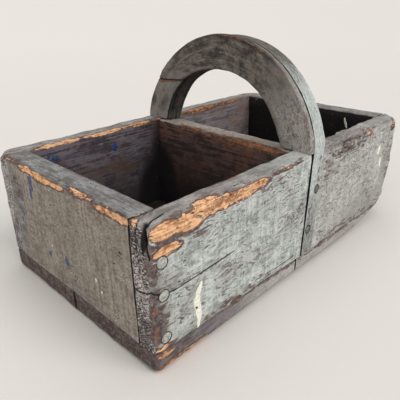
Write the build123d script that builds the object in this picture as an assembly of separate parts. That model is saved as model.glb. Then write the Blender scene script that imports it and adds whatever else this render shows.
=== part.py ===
"""Old two-compartment wooden caddy: nailed boards and a bowed carrying handle.

The frame has its origin under the middle of the box, on the surface that it stands on.
X runs along the box, Y across it and Z up.  The handle leans a little towards +X.
"""
import os

from build123d import *

# Box: outside sizes and board thicknesses in millimetres
length = 404
width = 240
rim_height = 133
side_thickness = 20
end_thickness = 24
floor_thickness = 21
floor_joint_lead = 1.7
board_gap = 0.3

# Handle: a thick bow whose legs pass down between the side boards, with a thin face on its left
bow_thickness = 19
face_thickness = 8
handle_reach = 198.8
handle_lean = 3.9
leg_width = 32.5
crown_swell = 3.5
arch_drop = 20.5
face_joint_height = 48
leg_gap = 2.4

# Divider between the compartments, lapped in front of the legs and worn down between them
divider_thickness = 24
divider_dip = 1.5

# Wear that has rounded the edges
front_corner_wear = 9
front_arris_wear = 6
back_corner_wear = 7
back_arris_wear = 4
end_arris_wear = 4
inner_arris_wear = 1.5
floor_wear = 2.5
divider_wear = 4
grip_wear = 2

# Large nails with wide flat heads, set just under the wood
nail_shank = 3.4
nail_head = 8
nail_head_depth = 1.4
nail_point = 5
nail_set = 0.2
corner_nail_length = 62
leg_nail_length = 68
floor_nail_length = 52
corner_nail_shares = (0.10, 0.455, 0.71)
leg_nail_height_shares = (0.26, 0.65)
leg_nail_depth_shares = (0.36, 0.68)
floor_nail_shares = (0.22, 0.5, 0.78)
floor_cross_share = 0.35

# Small brads that hold the face to the bow
brad_shank = 1.8
brad_head = 3.2
brad_head_depth = 0.9
brad_point = 2.5
brad_length = 21
bow_brad_angles = (20, 55, 90, 122)
foot_brad_shares = (0.28, 0.72)

# Fits and cuts
nail_clearance = 0.05
joint_clearance = 0.2
cut_overrun = 6

half_length = length / 2
half_width = width / 2
inner_half_width = half_width - side_thickness
wall_height = rim_height - floor_thickness
handle_x = handle_reach - half_length
handle_thickness = face_thickness + bow_thickness
arch_outer_radius = half_width + crown_swell
arch_inner_radius = half_width - leg_width
arch_mean_radius = (arch_outer_radius + arch_inner_radius) / 2
corner_wear = {-1: front_corner_wear, 1: back_corner_wear}
arris_wear = {-1: front_arris_wear, 1: back_arris_wear}

# The handle's own frame: X through its thickness from the left face, Z up along the lean from the rim
handle_frame = Pos(handle_x, 0, rim_height) * Rot(0, handle_lean, 0)

# The joint in the front floor board lies just before the divider's foot
divider_foot = handle_frame * Pos(0, 0, -wall_height)
floor_joint_x = divider_foot.position.X - floor_joint_lead


def block(low, high):
    """A plain block between its lowest and highest corners."""
    sizes = [top - bottom for bottom, top in zip(low, high)]
    return Pos(*low) * Box(*sizes, align=Align.MIN)


def edges_at(shape, direction, **places):
    """The straight edges along one direction whose middles lie at the given places."""
    return [
        edge
        for edge in shape.edges().filter_by(direction)
        if all(abs(getattr(edge.center(), axis) - at) < board_gap for axis, at in places.items())
    ]


def outer_edges(face, side):
    """The edges of a level face that lie along the outside of the box."""
    reach = corner_wear[side]
    return [
        edge
        for edge in face.edges()
        if abs(edge.center().Y) > half_width - reach or abs(edge.center().X) > half_length - reach
    ]


def below(height):
    """The space under a level plane."""
    return block((-length, -width, -rim_height), (length, width, height))


def above(height, half_span):
    """The space over a level plane, as far to each side as the half span."""
    return block((-length, -half_span, height), (length, half_span, height + arch_outer_radius))


def handle_slab(near, far):
    """A leaning slab of space between two distances from the handle's left face."""
    return handle_frame * block((near, -width, -2 * rim_height), (far, width, 2 * rim_height))


def half_chord(radius, rise):
    """Half the width of a circle about the arch's centre at a rise above the rim."""
    return (radius**2 - (rise + arch_drop) ** 2) ** 0.5


def nail_tool(shank, head, head_depth, point, reach, play):
    """A round nail under the local XY plane; with play it is the hole that the nail lies in."""
    shank_radius = shank / 2 + play
    head_radius = head / 2 + play
    top = cut_overrun if play else -nail_set
    underside = -nail_set - head_depth - play
    profile = Polyline(
        (0, top),
        (head_radius, top),
        (head_radius, underside),
        (shank_radius, underside),
        (shank_radius, point - reach - play),
        (0, -reach - play),
        close=True,
    )
    return revolve(Plane.XZ * make_face(profile), Axis.Z)


def large_nail(reach, play=0):
    """One of the wide-headed nails that hold the boards, or its hole."""
    return nail_tool(nail_shank, nail_head, nail_head_depth, nail_point, reach, play)


def brad(play=0):
    """One of the small brads of the handle's face, or its hole."""
    return nail_tool(brad_shank, brad_head, brad_head_depth, brad_point, brad_length, play)


def corner_nail_places(end, side):
    """Nails through a side board into an end board; end and side are -1 or 1."""
    x = end * (half_length - end_thickness / 2)
    heights = [floor_thickness + wall_height * share for share in corner_nail_shares]
    return [Plane((x, side * half_width, z), z_dir=(0, side, 0)).location for z in heights]


def leg_nail_places(side):
    """Nails through a leg of the bow into the end of the divider."""
    places = []
    for height_share, depth_share in zip(leg_nail_height_shares, leg_nail_depth_shares):
        x = face_thickness + bow_thickness * depth_share
        z = wall_height * (height_share - 1)
        place = Plane((x, side * half_width, z), z_dir=(0, side, 0)).location
        places.append(handle_frame * place)
    return places


def floor_nail_place(x, y):
    """A nail driven up from under the floor."""
    return Plane((x, y, 0), z_dir=(0, 0, -1)).location


def floor_side_places(start, stop, side):
    """Nails up into a side board's lower edge, between two places along the box."""
    y = side * (half_width - side_thickness / 2)
    return [floor_nail_place(start + (stop - start) * share, y) for share in floor_nail_shares]


def floor_end_place(end, side):
    """A nail up into the lower edge of an end board."""
    x = end * (half_length - end_thickness / 2)
    return floor_nail_place(x, side * inner_half_width * floor_cross_share)


def floor_divider_place(side):
    """A nail up into the lower edge of the divider."""
    underside = handle_frame * Pos(divider_thickness / 2, 0, -wall_height)
    return floor_nail_place(underside.position.X, side * inner_half_width * floor_cross_share)


def bow_brad_places():
    """Brads round the long piece of the handle's face, by angle up from its front foot."""
    places = []
    for angle in bow_brad_angles:
        spot = Vector(0, -arch_mean_radius, 0).rotate(Axis.X, -angle)
        place = Plane((0, spot.Y, spot.Z - arch_drop), z_dir=(-1, 0, 0)).location
        places.append(handle_frame * place)
    return places


def foot_brad_places():
    """Brads in the short piece of the face, over the back leg."""
    places = []
    for share in foot_brad_shares:
        rise = face_joint_height * share
        place = Plane((0, half_chord(arch_mean_radius, rise), rise), z_dir=(-1, 0, 0)).location
        places.append(handle_frame * place)
    return places


floor_nail_places = {
    "front_left": [
        *floor_side_places(-half_length, floor_joint_x, -1),
        floor_end_place(-1, -1),
    ],
    "front_right": [
        *floor_side_places(floor_joint_x, half_length, -1),
        floor_end_place(1, -1),
        floor_divider_place(-1),
    ],
    "back": [
        *floor_side_places(-half_length, floor_joint_x, 1),
        *floor_side_places(floor_joint_x, half_length, 1),
        floor_end_place(-1, 1),
        floor_end_place(1, 1),
        floor_divider_place(1),
    ],
}
corner_hole = large_nail(corner_nail_length, nail_clearance)
leg_hole = large_nail(leg_nail_length, nail_clearance)
floor_hole = large_nail(floor_nail_length, nail_clearance)
brad_hole = brad(nail_clearance)


def drilled(piece, places, tool):
    """A piece with a nail hole at each place."""
    return piece - [place * tool for place in places]


def end_board(end):
    """An end of the box, between the two long sides."""
    outer = end * half_length
    inner = outer - end * end_thickness
    board = block(
        (min(inner, outer), -inner_half_width, floor_thickness),
        (max(inner, outer), inner_half_width, rim_height),
    )
    board = fillet(edges_at(board, Axis.Y, X=outer, Z=rim_height), end_arris_wear)
    board = fillet(edges_at(board, Axis.Y, X=inner, Z=rim_height), inner_arris_wear)
    for side in (-1, 1):
        board = drilled(board, corner_nail_places(end, side), corner_hole)
    return drilled(board, [floor_end_place(end, side) for side in (-1, 1)], floor_hole)


def side_board(end, side):
    """A quarter of the long sides, from a corner of the box to the handle's leg."""
    outer = side * half_width
    inner = side * inner_half_width
    tip = end * half_length
    root = handle_x - end * (handle_thickness + cut_overrun)
    board = block(
        (min(tip, root), min(inner, outer), floor_thickness),
        (max(tip, root), max(inner, outer), rim_height),
    )
    board = fillet(edges_at(board, Axis.X, Y=inner, Z=rim_height), inner_arris_wear)
    board = fillet(edges_at(board, Axis.Z, X=tip, Y=outer), corner_wear[side])
    board = fillet(outer_edges(board.faces().sort_by(Axis.Z)[-1], side), arris_wear[side])
    if end < 0:
        board -= handle_slab(face_thickness - leg_gap, length)
    else:
        board -= handle_slab(-length, handle_thickness + joint_clearance)
    board = drilled(board, corner_nail_places(end, side), corner_hole)
    run = (-half_length, floor_joint_x) if end < 0 else (floor_joint_x, half_length)
    return drilled(board, floor_side_places(*run, side), floor_hole)


def floor_board(low_x, high_x, side, places):
    """A lengthwise board of the floor, flush with the walls outside."""
    outer = side * half_width
    inner = side * board_gap / 2
    board = block((low_x, min(inner, outer), 0), (high_x, max(inner, outer), floor_thickness))
    corners = [tip for tip in (low_x, high_x) if abs(tip) == half_length]
    for tip in corners:
        board = fillet(edges_at(board, Axis.Z, X=tip, Y=outer), corner_wear[side])
    board = fillet(outer_edges(board.faces().sort_by(Axis.Z)[0], side), floor_wear)
    return drilled(board, places, floor_hole)


def arch_outline(foot, play=0):
    """The handle's outline across the box: two legs and a round crown, open below."""
    leg_height = -arch_drop - foot
    leg_middle = foot + leg_height / 2
    legs = Pos(0, leg_middle) * Rectangle(width, leg_height)
    crown = Pos(0, -arch_drop) * Circle(arch_outer_radius)
    upper_band = Pos(0, -arch_drop) * Rectangle(width, arch_outer_radius, align=(Align.CENTER, Align.MIN))
    outside = legs + (crown & upper_band)
    grip_radius = arch_inner_radius - play
    gap = Pos(0, leg_middle) * Rectangle(2 * grip_radius, leg_height)
    return outside - (gap + Pos(0, -arch_drop) * Circle(grip_radius))


def handle_bow():
    """The thick layer of the handle, with legs that stand on the floor."""
    outline = arch_outline(-wall_height - cut_overrun)
    bow = extrude(Plane.YZ.offset(face_thickness) * outline, bow_thickness)
    worn = bow.faces().sort_by(Axis.X)[-1].edges().filter_by(GeomType.CIRCLE)
    bow = handle_frame * fillet(worn, grip_wear)
    bow -= below(floor_thickness)
    for side in (-1, 1):
        bow = drilled(bow, leg_nail_places(side), leg_hole)
    return drilled(bow, [*bow_brad_places(), *foot_brad_places()], brad_hole)


def face_layer():
    """The thin layer of the handle as one arch that stands on the rim."""
    layer = extrude(Plane.YZ * arch_outline(-arch_drop - cut_overrun), face_thickness)
    worn = layer.faces().sort_by(Axis.X)[0].edges().filter_by(GeomType.CIRCLE)
    return handle_frame * fillet(worn, grip_wear) - below(rim_height)


def foot_space(joint):
    """The space over the back leg, up to the joint in the face."""
    return handle_frame * block(
        (-cut_overrun, 0, -arch_drop), (face_thickness + cut_overrun, width, joint)
    )


def handle_face_bow():
    """The long piece of the face: crown and front foot."""
    piece = face_layer() - foot_space(face_joint_height + board_gap)
    return drilled(piece, bow_brad_places(), brad_hole)


def handle_face_foot():
    """The short piece of the face that makes up the back foot."""
    piece = face_layer() & foot_space(face_joint_height)
    return drilled(piece, foot_brad_places(), brad_hole)


def divider_board():
    """The wall between the compartments, lapped in front of the bow's legs."""
    reach = wall_height + 2 * cut_overrun
    board = handle_frame * block(
        (0, -inner_half_width, -reach), (divider_thickness, inner_half_width, cut_overrun)
    )
    housing = arch_outline(-reach - cut_overrun, joint_clearance)
    start = face_thickness - joint_clearance
    board -= handle_frame * extrude(Plane.YZ.offset(start) * housing, handle_thickness)
    board -= below(floor_thickness)
    board -= above(rim_height, width)
    worn_height = rim_height - divider_dip
    board -= above(worn_height, half_chord(arch_inner_radius, 0))
    board = fillet(edges_at(board, Axis.Y, Y=0, Z=worn_height), divider_wear)
    for side in (-1, 1):
        board = drilled(board, leg_nail_places(side), leg_hole)
    return drilled(board, [floor_divider_place(side) for side in (-1, 1)], floor_hole)


def nails(places, tool):
    """A group of nails, one at each place."""
    return Compound(children=[place * tool for place in places])


def floor_pieces():
    """The floor boards, each with the nails that hold it."""
    spans = {
        "front_left": (-half_length, floor_joint_x - board_gap / 2, -1),
        "front_right": (floor_joint_x + board_gap / 2, half_length, -1),
        "back": (-half_length, half_length, 1),
    }
    pieces = {}
    for name, span in spans.items():
        places = floor_nail_places[name]
        pieces[f"floor_board_{name}"] = floor_board(*span, places)
        pieces[f"floor_nails_{name}"] = nails(places, large_nail(floor_nail_length))
    return pieces


def wall_pieces():
    """The side and end boards, with the nails at each corner."""
    pieces = {}
    for end, end_name in ((-1, "left"), (1, "right")):
        pieces[f"end_board_{end_name}"] = end_board(end)
        for side, side_name in ((-1, "front"), (1, "back")):
            corner = f"{side_name}_{end_name}"
            places = corner_nail_places(end, side)
            pieces[f"side_board_{corner}"] = side_board(end, side)
            pieces[f"corner_nails_{corner}"] = nails(places, large_nail(corner_nail_length))
    return pieces


def handle_pieces():
    """The divider and the handle, with their nails and brads."""
    pieces = {
        "divider_board": divider_board(),
        "handle_bow": handle_bow(),
        "handle_face_bow": handle_face_bow(),
        "handle_face_foot": handle_face_foot(),
        "brads_face_bow": nails(bow_brad_places(), brad()),
        "brads_face_foot": nails(foot_brad_places(), brad()),
    }
    for side, side_name in ((-1, "front"), (1, "back")):
        pieces[f"leg_nails_{side_name}"] = nails(leg_nail_places(side), large_nail(leg_nail_length))
    return pieces


os.makedirs("parts", exist_ok=True)
for node, shape in (floor_pieces() | wall_pieces() | handle_pieces()).items():
    export_step(shape, f"parts/{node}.step")
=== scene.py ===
"""Old painted caddy: weathered boards, a bowed handle and nails, dressed around the CAD frame.

Sizes are in millimetres in the frame of the CAD model and become metres when a mesh is made.
"""
import itertools
import logging
import math
from dataclasses import astuple, dataclass, field, replace
from enum import Enum
from typing import Callable

import bpy
import numpy as np
from mathutils import Matrix, Vector


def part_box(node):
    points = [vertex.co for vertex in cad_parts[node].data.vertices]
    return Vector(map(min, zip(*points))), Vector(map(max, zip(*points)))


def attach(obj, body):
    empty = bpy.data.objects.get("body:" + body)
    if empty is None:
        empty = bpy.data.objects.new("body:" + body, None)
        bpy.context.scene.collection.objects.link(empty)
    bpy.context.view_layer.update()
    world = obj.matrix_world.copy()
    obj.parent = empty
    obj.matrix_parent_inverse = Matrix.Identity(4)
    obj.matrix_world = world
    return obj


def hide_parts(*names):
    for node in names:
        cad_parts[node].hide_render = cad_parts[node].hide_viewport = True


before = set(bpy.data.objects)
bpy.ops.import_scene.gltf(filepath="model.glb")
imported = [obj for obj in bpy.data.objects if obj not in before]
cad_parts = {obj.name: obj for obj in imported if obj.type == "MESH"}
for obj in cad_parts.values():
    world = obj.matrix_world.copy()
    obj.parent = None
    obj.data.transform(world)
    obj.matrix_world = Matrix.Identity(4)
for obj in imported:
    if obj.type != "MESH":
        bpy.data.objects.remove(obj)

LOG = logging.getLogger("caddy")
MM = 0.001
TINY = 1e-9
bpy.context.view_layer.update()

# Steps of the lattice hash behind the wood noise
HASH_STEPS = np.array([73856093, 19349663, 83492791])
HASH_SEED = 15485863
HASH_MIX = 1274126177
HASH_MASK = 0xFFFFFF
HASH_SHIFTS = (13, 16)

Point = tuple[float, float, float]
Span = tuple[float, float]
Row = tuple[float, ...]
Array = np.ndarray
Pair = tuple[Array, Array]
Piece = bpy.types.Object
Socket = bpy.types.NodeSocket
Tree = bpy.types.NodeTree
Material = bpy.types.Material


class Face(Enum):
    """The six sides of a board in its own frame, each as axis and direction."""

    LEFT = (0, -1)
    RIGHT = (0, 1)
    FRONT = (1, -1)
    BACK = (1, 1)
    UNDER = (2, -1)
    TOP = (2, 1)


class Trace(Enum):
    """What use has left on the wood, and painted shade in gaps, dents and deep inside the box; each is a
    channel that a patch can add to.
    """

    BARE = "bare"
    GRIME = "grime"
    RUB = "rub"
    DARK = "dark"
    SOOT = "soot"
    ROUND = "round"
    DENT = "dent"
    GNARL = "gnarl"


class Noise(Enum):
    """The noises that shape a board: which draw each is, and its lumps along and across the grain."""

    EDGE = (0, 17.0, 17.0)
    EDGE_FINE = (1, 5.5, 5.5)
    SWELL = (2, 34.0, 34.0)
    ROUGH = (3, 7.0, 7.0)
    FIBRE = (4, 38.0, 2.6)
    LUCK = (5, 26.0, 26.0)
    BLOW = (6, 11.0, 11.0)
    TEAR = (7, 4.0, 4.0)
    CREVICE = (8, 9.0, 2.8)
    KNOB = (9, 10.0, 10.0)
    KNOB_FINE = (10, 5.0, 5.0)


Edge = frozenset[Face]
EDGES: list[Edge] = [
    frozenset(pair) for pair in itertools.combinations(Face, 2) if pair[0].value[0] != pair[1].value[0]
]


def edge(first: Face, second: Face) -> Edge:
    """The edge where two sides of a board meet."""
    return frozenset((first, second))


def node_box(name: str) -> Pair:
    """The lowest and highest corners of a CAD node in millimetres."""
    low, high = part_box(name)
    return np.array(low) / MM, np.array(high) / MM


def node_end(name: str, side: Face) -> float:
    """How far a CAD node reaches to one side, in millimetres."""
    axis, sign = side.value
    return float(node_box(name)[sign > 0][axis])


def bounded(values: Array) -> Array:
    """Values held between 0 and 1."""
    return np.clip(values, 0, 1)


def fading(distance: Array, spread: float) -> Array:
    """A share that is 1 at no distance and dies away past the spread."""
    return np.exp(-((distance / spread) ** 2))


def wood_noise(points: Array, cell: float | Array, seed: int) -> Array:
    """Smooth random values over space, the same on every run.

    Args:
        points: Places, one per row.
        cell: Size of one lump of the noise, or its size along each axis.
        seed: Picks one of many patterns.

    Returns:
        One value per point, between -1 and 1.
    """
    scaled = points / cell
    base = np.floor(scaled).astype(np.int64)
    part = scaled - base
    part = part * part * (3 - 2 * part)
    total = np.zeros(len(points))
    for corner in itertools.product((0, 1), repeat=3):
        key = (base + corner) @ HASH_STEPS + seed * HASH_SEED
        key = (key ^ (key >> HASH_SHIFTS[0])) * HASH_MIX
        key ^= key >> HASH_SHIFTS[1]
        share = np.prod(np.where(corner, part, 1 - part), axis=1)
        total += share * ((key & HASH_MASK) / HASH_MASK * 2 - 1)
    return total


def path_distance(points: Array, path: tuple[Point, ...]) -> Array:
    """Distance from each point to a line of straight runs.

    Args:
        points: Places, one per row.
        path: The corners of the line.

    Returns:
        One distance per point.
    """
    nearest = np.full(len(points), np.inf)
    for start, stop in itertools.pairwise(np.asarray(path, float)):
        run = stop - start
        along = bounded((points - start) @ run / (run @ run))
        nearest = np.minimum(nearest, np.linalg.norm(points - start - along[:, None] * run, axis=1))
    return nearest


def grid_lines(low: float, high: float, coarse: float, fine: float, spans: list[Span]) -> Array:
    """Places of the mesh lines along one side of a board.

    Args:
        low: Where the side starts.
        high: Where it ends.
        coarse: Spacing over plain stretches.
        fine: Spacing near both ends and inside the spans.
        spans: Stretches that hold small detail.

    Returns:
        The places in rising order.
    """
    end_band = 14.0
    close = [(low, low + end_band), (high - end_band, high), *spans]
    places = [low]
    while places[-1] < high:
        near = any(start <= places[-1] <= stop for start, stop in close)
        places.append(places[-1] + (fine if near else coarse))
    scale = (high - low) / (places[-1] - low)
    return low + (np.array(places) - low) * scale


def box_grid(lines: list[Array]) -> Pair:
    """A closed grid of quads over a box.

    Args:
        lines: Places of the mesh lines along X, Y and Z.

    Returns:
        The points, one per row, and the quads as rows of point numbers, facing outwards.
    """
    counts = [len(places) for places in lines]
    shell = np.ones(counts, bool)
    shell[1:-1, 1:-1, 1:-1] = False
    cells = np.argwhere(shell)
    number = np.full(counts, -1)
    number[tuple(cells.T)] = np.arange(len(cells))
    points = np.column_stack([lines[axis][cells[:, axis]] for axis in range(3)])
    quads = []
    for axis, end in itertools.product(range(3), (0, -1)):
        sheet = np.take(number, end, axis=axis)
        loops = np.stack([sheet[:-1, :-1], sheet[1:, :-1], sheet[1:, 1:], sheet[:-1, 1:]], -1).reshape(-1, 4)
        outwards = (end == -1) != (axis == 1)
        quads.append(loops if outwards else loops[:, ::-1])
    return points, np.concatenate(quads)


def facing_out(points: Array, quads: Array) -> Array:
    """Turns over the quads of a mesh that is inside out.

    Args:
        points: Places, one per row.
        quads: Faces as rows of point numbers.

    Returns:
        The quads, facing outwards.
    """
    first, second, third, fourth = (points[quads[:, corner]] for corner in range(4))
    volume = np.sum(first * np.cross(second, third)) + np.sum(first * np.cross(third, fourth))
    return quads if volume >= 0 else quads[:, ::-1]


def new_piece(name: str, points: Array, quads: Array, **values: Array) -> Piece:
    """A smooth-shaded mesh object at the origin.

    Args:
        name: Name of the piece.
        points: Places in millimetres, one per row.
        quads: Faces as rows of point numbers.
        values: Attributes by name, one number or vector per point.

    Returns:
        The new object, linked to the scene.
    """
    mesh = bpy.data.meshes.new(name)
    mesh.from_pydata((points * MM).tolist(), [], facing_out(points, quads).tolist())
    for key, data in values.items():
        kind, slot = ("FLOAT", "value") if data.ndim == 1 else ("FLOAT_VECTOR", "vector")
        mesh.attributes.new(key, kind, "POINT").data.foreach_set(slot, data.astype(np.float32).ravel())
    mesh.shade_smooth()
    piece = bpy.data.objects.new(name, mesh)
    bpy.context.scene.collection.objects.link(piece)
    return piece


def settle(piece: Piece, material: Material, nodes: list[str]) -> None:
    """Gives a piece its finish and its place in the frame.

    Args:
        piece: The finished object.
        material: The finish that it shows.
        nodes: CAD nodes that it stands for.
    """
    piece.data.materials.clear()
    piece.data.materials.append(material)
    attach(piece, "root")
    if nodes:
        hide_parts(*nodes)
    LOG.info("%s: %d faces for %s", piece.name, len(piece.data.polygons), ", ".join(nodes) or "the paint")


@dataclass(frozen=True)
class Patch:
    """A soft-edged spot where use has marked a board: its middle, its reach and how strong it is."""

    trace: Trace
    at: Point
    reach: Point
    amount: float

    def strength(self, points: Array) -> Array:
        """How strongly the patch marks each point."""
        away = np.sum(((points - self.at) / self.reach) ** 2, axis=1)
        return self.amount * bounded(1 - away)


@dataclass(frozen=True)
class Groove:
    """A crack in the wood along a line, with painted shade in it."""

    path: tuple[Point, ...]
    width: float
    depth: float


@dataclass(frozen=True)
class NailSeat:
    """Where a nail head lies: the middle of its top and the direction it faces."""

    at: Point
    facing: Point


@dataclass
class Plank:
    """A weathered board, made in its own straight frame and then put in place."""

    name: str
    low: Array
    high: Array
    seed: int
    grain_axis: int = 0
    rounds: dict[Edge, float] = field(default_factory=dict)
    worn: dict[Edge, float] = field(default_factory=dict)
    painted: dict[Face, float] = field(default_factory=dict)
    patches: list[Patch] = field(default_factory=list)
    grooves: list[Groove] = field(default_factory=list)
    seats: list[NailSeat] = field(default_factory=list)
    fine_spans: dict[int, list[Span]] = field(default_factory=dict)
    plain_round: float = 1.1
    ragged: float = 0.35
    swell: float = 0.5
    rough: float = 0.25
    knocks: float = 1.4
    # Darkening of unpainted faces towards the bottom of the box: soot and painted shade
    soot: float = 0.0
    coarse: float = 2.2
    fine: float = 0.9
    seat_radius: float = 4.3
    seat_depth: float = 0.9
    # How strong the ring of painted shade in the gap around a nail head is
    seat_ring_shade: float = 1.0
    place: Callable[[Array], Array] = lambda points: points

    # The same on every board: lengths in millimetres, the others are shares and slopes
    EDGE_BLEND, EDGE_LEAST, EDGE_MOST, EDGE_DETAIL = 6.0, 0.3, 0.48, 0.6
    BLOW_START, BLOW_REACH = 0.25, 9.0
    KNOB_DETAIL, GNARL_FULL = 0.4, 4.0
    HOLLOW_SLOPE, HOLLOW_START, HOLLOW_MOST = 2.0, 0.7, 0.5
    RING_WIDTH, SEAT_MARGIN = 0.7, 2.0
    TEAR_DEPTH, TEAR_ROUGH = 0.7, 0.9
    CREVICE_SLOPE, CREVICE_START, CREVICE_DEPTH, CREVICE_DARK = 4.0, 1.5, 0.8, 0.36
    BARE_REACH, PAINT_SLOPE, GRAIN_SHIFT = 4.5, 1.6, 211.0
    NAIL_NEAR, NAIL_FAR = 8.0, 16.0

    def mark(self, trace: Trace, *rows: Row) -> None:
        """Adds patches of one kind; a row gives the middle, the reach along each axis and the amount."""
        self.patches += [Patch(trace, row[:3], row[3:6], row[6]) for row in rows]

    def knock(self, places: list[Point], dent: Row, dark: Row) -> None:
        """Adds dents with a middle of painted shade; dent and dark give the reach along each axis and the
        amount.
        """
        self.mark(Trace.DENT, *((*at, *dent) for at in places))
        self.mark(Trace.DARK, *((*at, *dark) for at in places))

    def noise(self, kind: Noise, points: Array) -> Array:
        """One of the board's own noises at each point."""
        draw, along, across = kind.value
        return wood_noise(points, np.where(np.arange(3) == self.grain_axis, along, across), self.seed + draw)

    def limit(self, side: Face) -> float:
        """Where the board ends on one side."""
        axis, sign = side.value
        return (self.low, self.high)[sign > 0][axis]

    def traces(self, trace: Trace, points: Array) -> Array:
        """The strongest mark of one kind at each point."""
        marks = [patch.strength(points) for patch in self.patches if patch.trace is trace]
        return np.max(marks, axis=0) if marks else np.zeros(len(points))

    def edge_distances(self, points: Array) -> dict[Edge, Array]:
        """How far each point lies from each edge of the board."""
        gaps = {side: np.abs(points[:, side.value[0]] - self.limit(side)) for side in Face}
        return {pair: np.hypot(*(gaps[side] for side in pair)) for pair in EDGES}

    def edge_radius(self, points: Array, distances: dict[Edge, Array]) -> Array:
        """The radius to which wear has rounded the nearest edge.

        Args:
            points: Places on the sharp board.
            distances: Distance of each point to each edge.

        Returns:
            One radius per point.
        """
        total = np.zeros(len(points))
        shares = np.full(len(points), TINY)
        for pair, away in distances.items():
            share = np.exp(-away / self.EDGE_BLEND)
            total += share * self.rounds.get(pair, self.plain_round)
            shares += share
        uneven = self.noise(Noise.EDGE, points) + self.EDGE_DETAIL * self.noise(Noise.EDGE_FINE, points)
        radius = total / shares * (1 + self.ragged * uneven) + self.traces(Trace.ROUND, points)
        return np.clip(radius, self.EDGE_LEAST, self.EDGE_MOST * np.min(self.high - self.low))

    def relief(self, points: Array, distances: dict[Edge, Array]) -> Pair:
        """Swellings, knocks, splits, nail seats and torn wood.

        Args:
            points: Places on the sharp board.
            distances: Distance of each point to each edge.

        Returns:
            How far each point stands out, and how much painted shade it takes in gaps, cracks, hollows, dents
            and nail seats.
        """
        height = self.swell * self.noise(Noise.SWELL, points)
        height += self.rough * self.noise(Noise.ROUGH, points)
        height += self.rough / 2 * self.noise(Noise.FIBRE, points)
        for patch in self.patches:
            if patch.trace is Trace.DENT:
                height -= patch.strength(points)
        blows = bounded(self.noise(Noise.BLOW, points) - self.BLOW_START)
        for pair, amount in self.worn.items():
            height -= self.knocks * amount * blows * fading(distances[pair], self.BLOW_REACH)
        gnarl = self.traces(Trace.GNARL, points)
        knobs = self.noise(Noise.KNOB, points) + self.KNOB_DETAIL * self.noise(Noise.KNOB_FINE, points)
        height += gnarl * knobs
        # Hollows between the knobs take painted shade
        hollows = np.clip(-self.HOLLOW_SLOPE * knobs - self.HOLLOW_START, 0, self.HOLLOW_MOST)
        hollows *= bounded(gnarl / self.GNARL_FULL)
        gap_shade = np.maximum(bounded(self.traces(Trace.DARK, points)), hollows)
        # Grooves sink and fill with painted shade
        for groove in self.grooves:
            near = fading(path_distance(points, groove.path), groove.width)
            height -= groove.depth * near
            gap_shade = np.maximum(gap_shade, near)
        # Nail seats sink, with a ring of painted shade in the gap round the head
        for seat in self.seats:
            away = np.linalg.norm(points - seat.at, axis=1)
            height -= self.seat_depth * (away < self.seat_radius)
            gap_shade = np.maximum(gap_shade, self.seat_ring_shade * fading(away - self.seat_radius, self.RING_WIDTH))
        torn = bounded(self.traces(Trace.BARE, points))
        # Crevices along the grain deepen torn wood and take painted shade
        crevice = bounded(self.CREVICE_SLOPE * self.noise(Noise.CREVICE, points) - self.CREVICE_START)
        tear = self.TEAR_DEPTH + self.TEAR_ROUGH * self.noise(Noise.TEAR, points)
        tear += self.CREVICE_DEPTH * crevice
        return height - torn * tear, np.maximum(gap_shade, self.CREVICE_DARK * torn * crevice)

    def weather(self, points: Array) -> tuple[Array, Array, dict[str, Array]]:
        """Wears a sharp board down.

        Args:
            points: Places on the sharp board, in its own frame.

        Returns:
            The worn places in the board's own frame, the directions that they face,
            and the attributes that its finish reads.
        """
        distances = self.edge_distances(points)
        radius = self.edge_radius(points, distances)[:, None]
        core = np.clip(points, self.low + radius, self.high - radius)
        outward = points - core
        outward /= np.linalg.norm(outward, axis=1, keepdims=True)
        # The relief also gives the painted shade in gaps, cracks, hollows, dents and nail seats
        height, gap_shade = self.relief(points, distances)
        bare = self.traces(Trace.BARE, points)
        luck = 0.5 + 0.5 * self.noise(Noise.LUCK, points)
        for pair, amount in self.worn.items():
            bare = np.maximum(bare, amount * luck * fading(distances[pair], self.BARE_REACH))
        paint = np.zeros(len(points))
        for side, amount in self.painted.items():
            axis, sign = side.value
            paint = np.maximum(paint, amount * bounded(sign * outward[:, axis] * self.PAINT_SLOPE))
        # Unpainted faces darken towards the bottom: soot and painted shade deep in the box
        depth = (self.high[2] - points[:, 2]) / (self.high[2] - self.low[2])
        order = [self.grain_axis, *(axis for axis in range(3) if axis != self.grain_axis)]
        values = {
            "grain": points[:, order] + self.GRAIN_SHIFT * self.seed,
            "bare": bare,
            "grime": bounded(self.traces(Trace.GRIME, points)),
            "soot": bounded(self.soot * (1 - paint) * depth + self.traces(Trace.SOOT, points)),
            "rub": bounded(self.traces(Trace.RUB, points)),
            "gap_shade": gap_shade,
            "paint": paint,
            "end": np.abs(outward[:, self.grain_axis]) ** 2,
        }
        return core + radius * outward + outward * height[:, None], outward, values

    def seated(self) -> Pair:
        """Where the nails of the board lie in the box.

        Returns:
            The bottoms of their seats, and the directions that their heads face.
        """
        tops = np.array([seat.at for seat in self.seats], float)
        inward = -np.array([seat.facing for seat in self.seats], float)
        near, far = (self.place(tops + depth * inward) for depth in (self.NAIL_NEAR, self.NAIL_FAR))
        return self.place(self.weather(tops)[0]), (near - far) / (self.NAIL_FAR - self.NAIL_NEAR)

    def build(self) -> Piece:
        """Makes the board's mesh in its place.

        Returns:
            The new object.
        """
        margin = self.seat_radius + self.SEAT_MARGIN
        lines = []
        for axis in range(3):
            across = [seat.at[axis] for seat in self.seats if not seat.facing[axis]]
            spans = self.fine_spans.get(axis, []) + [(at - margin, at + margin) for at in across]
            lines.append(grid_lines(self.low[axis], self.high[axis], self.coarse, self.fine, spans))
        points, quads = box_grid(lines)
        worn, _, values = self.weather(points)
        return new_piece(self.name, self.place(worn), quads, **values)


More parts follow.
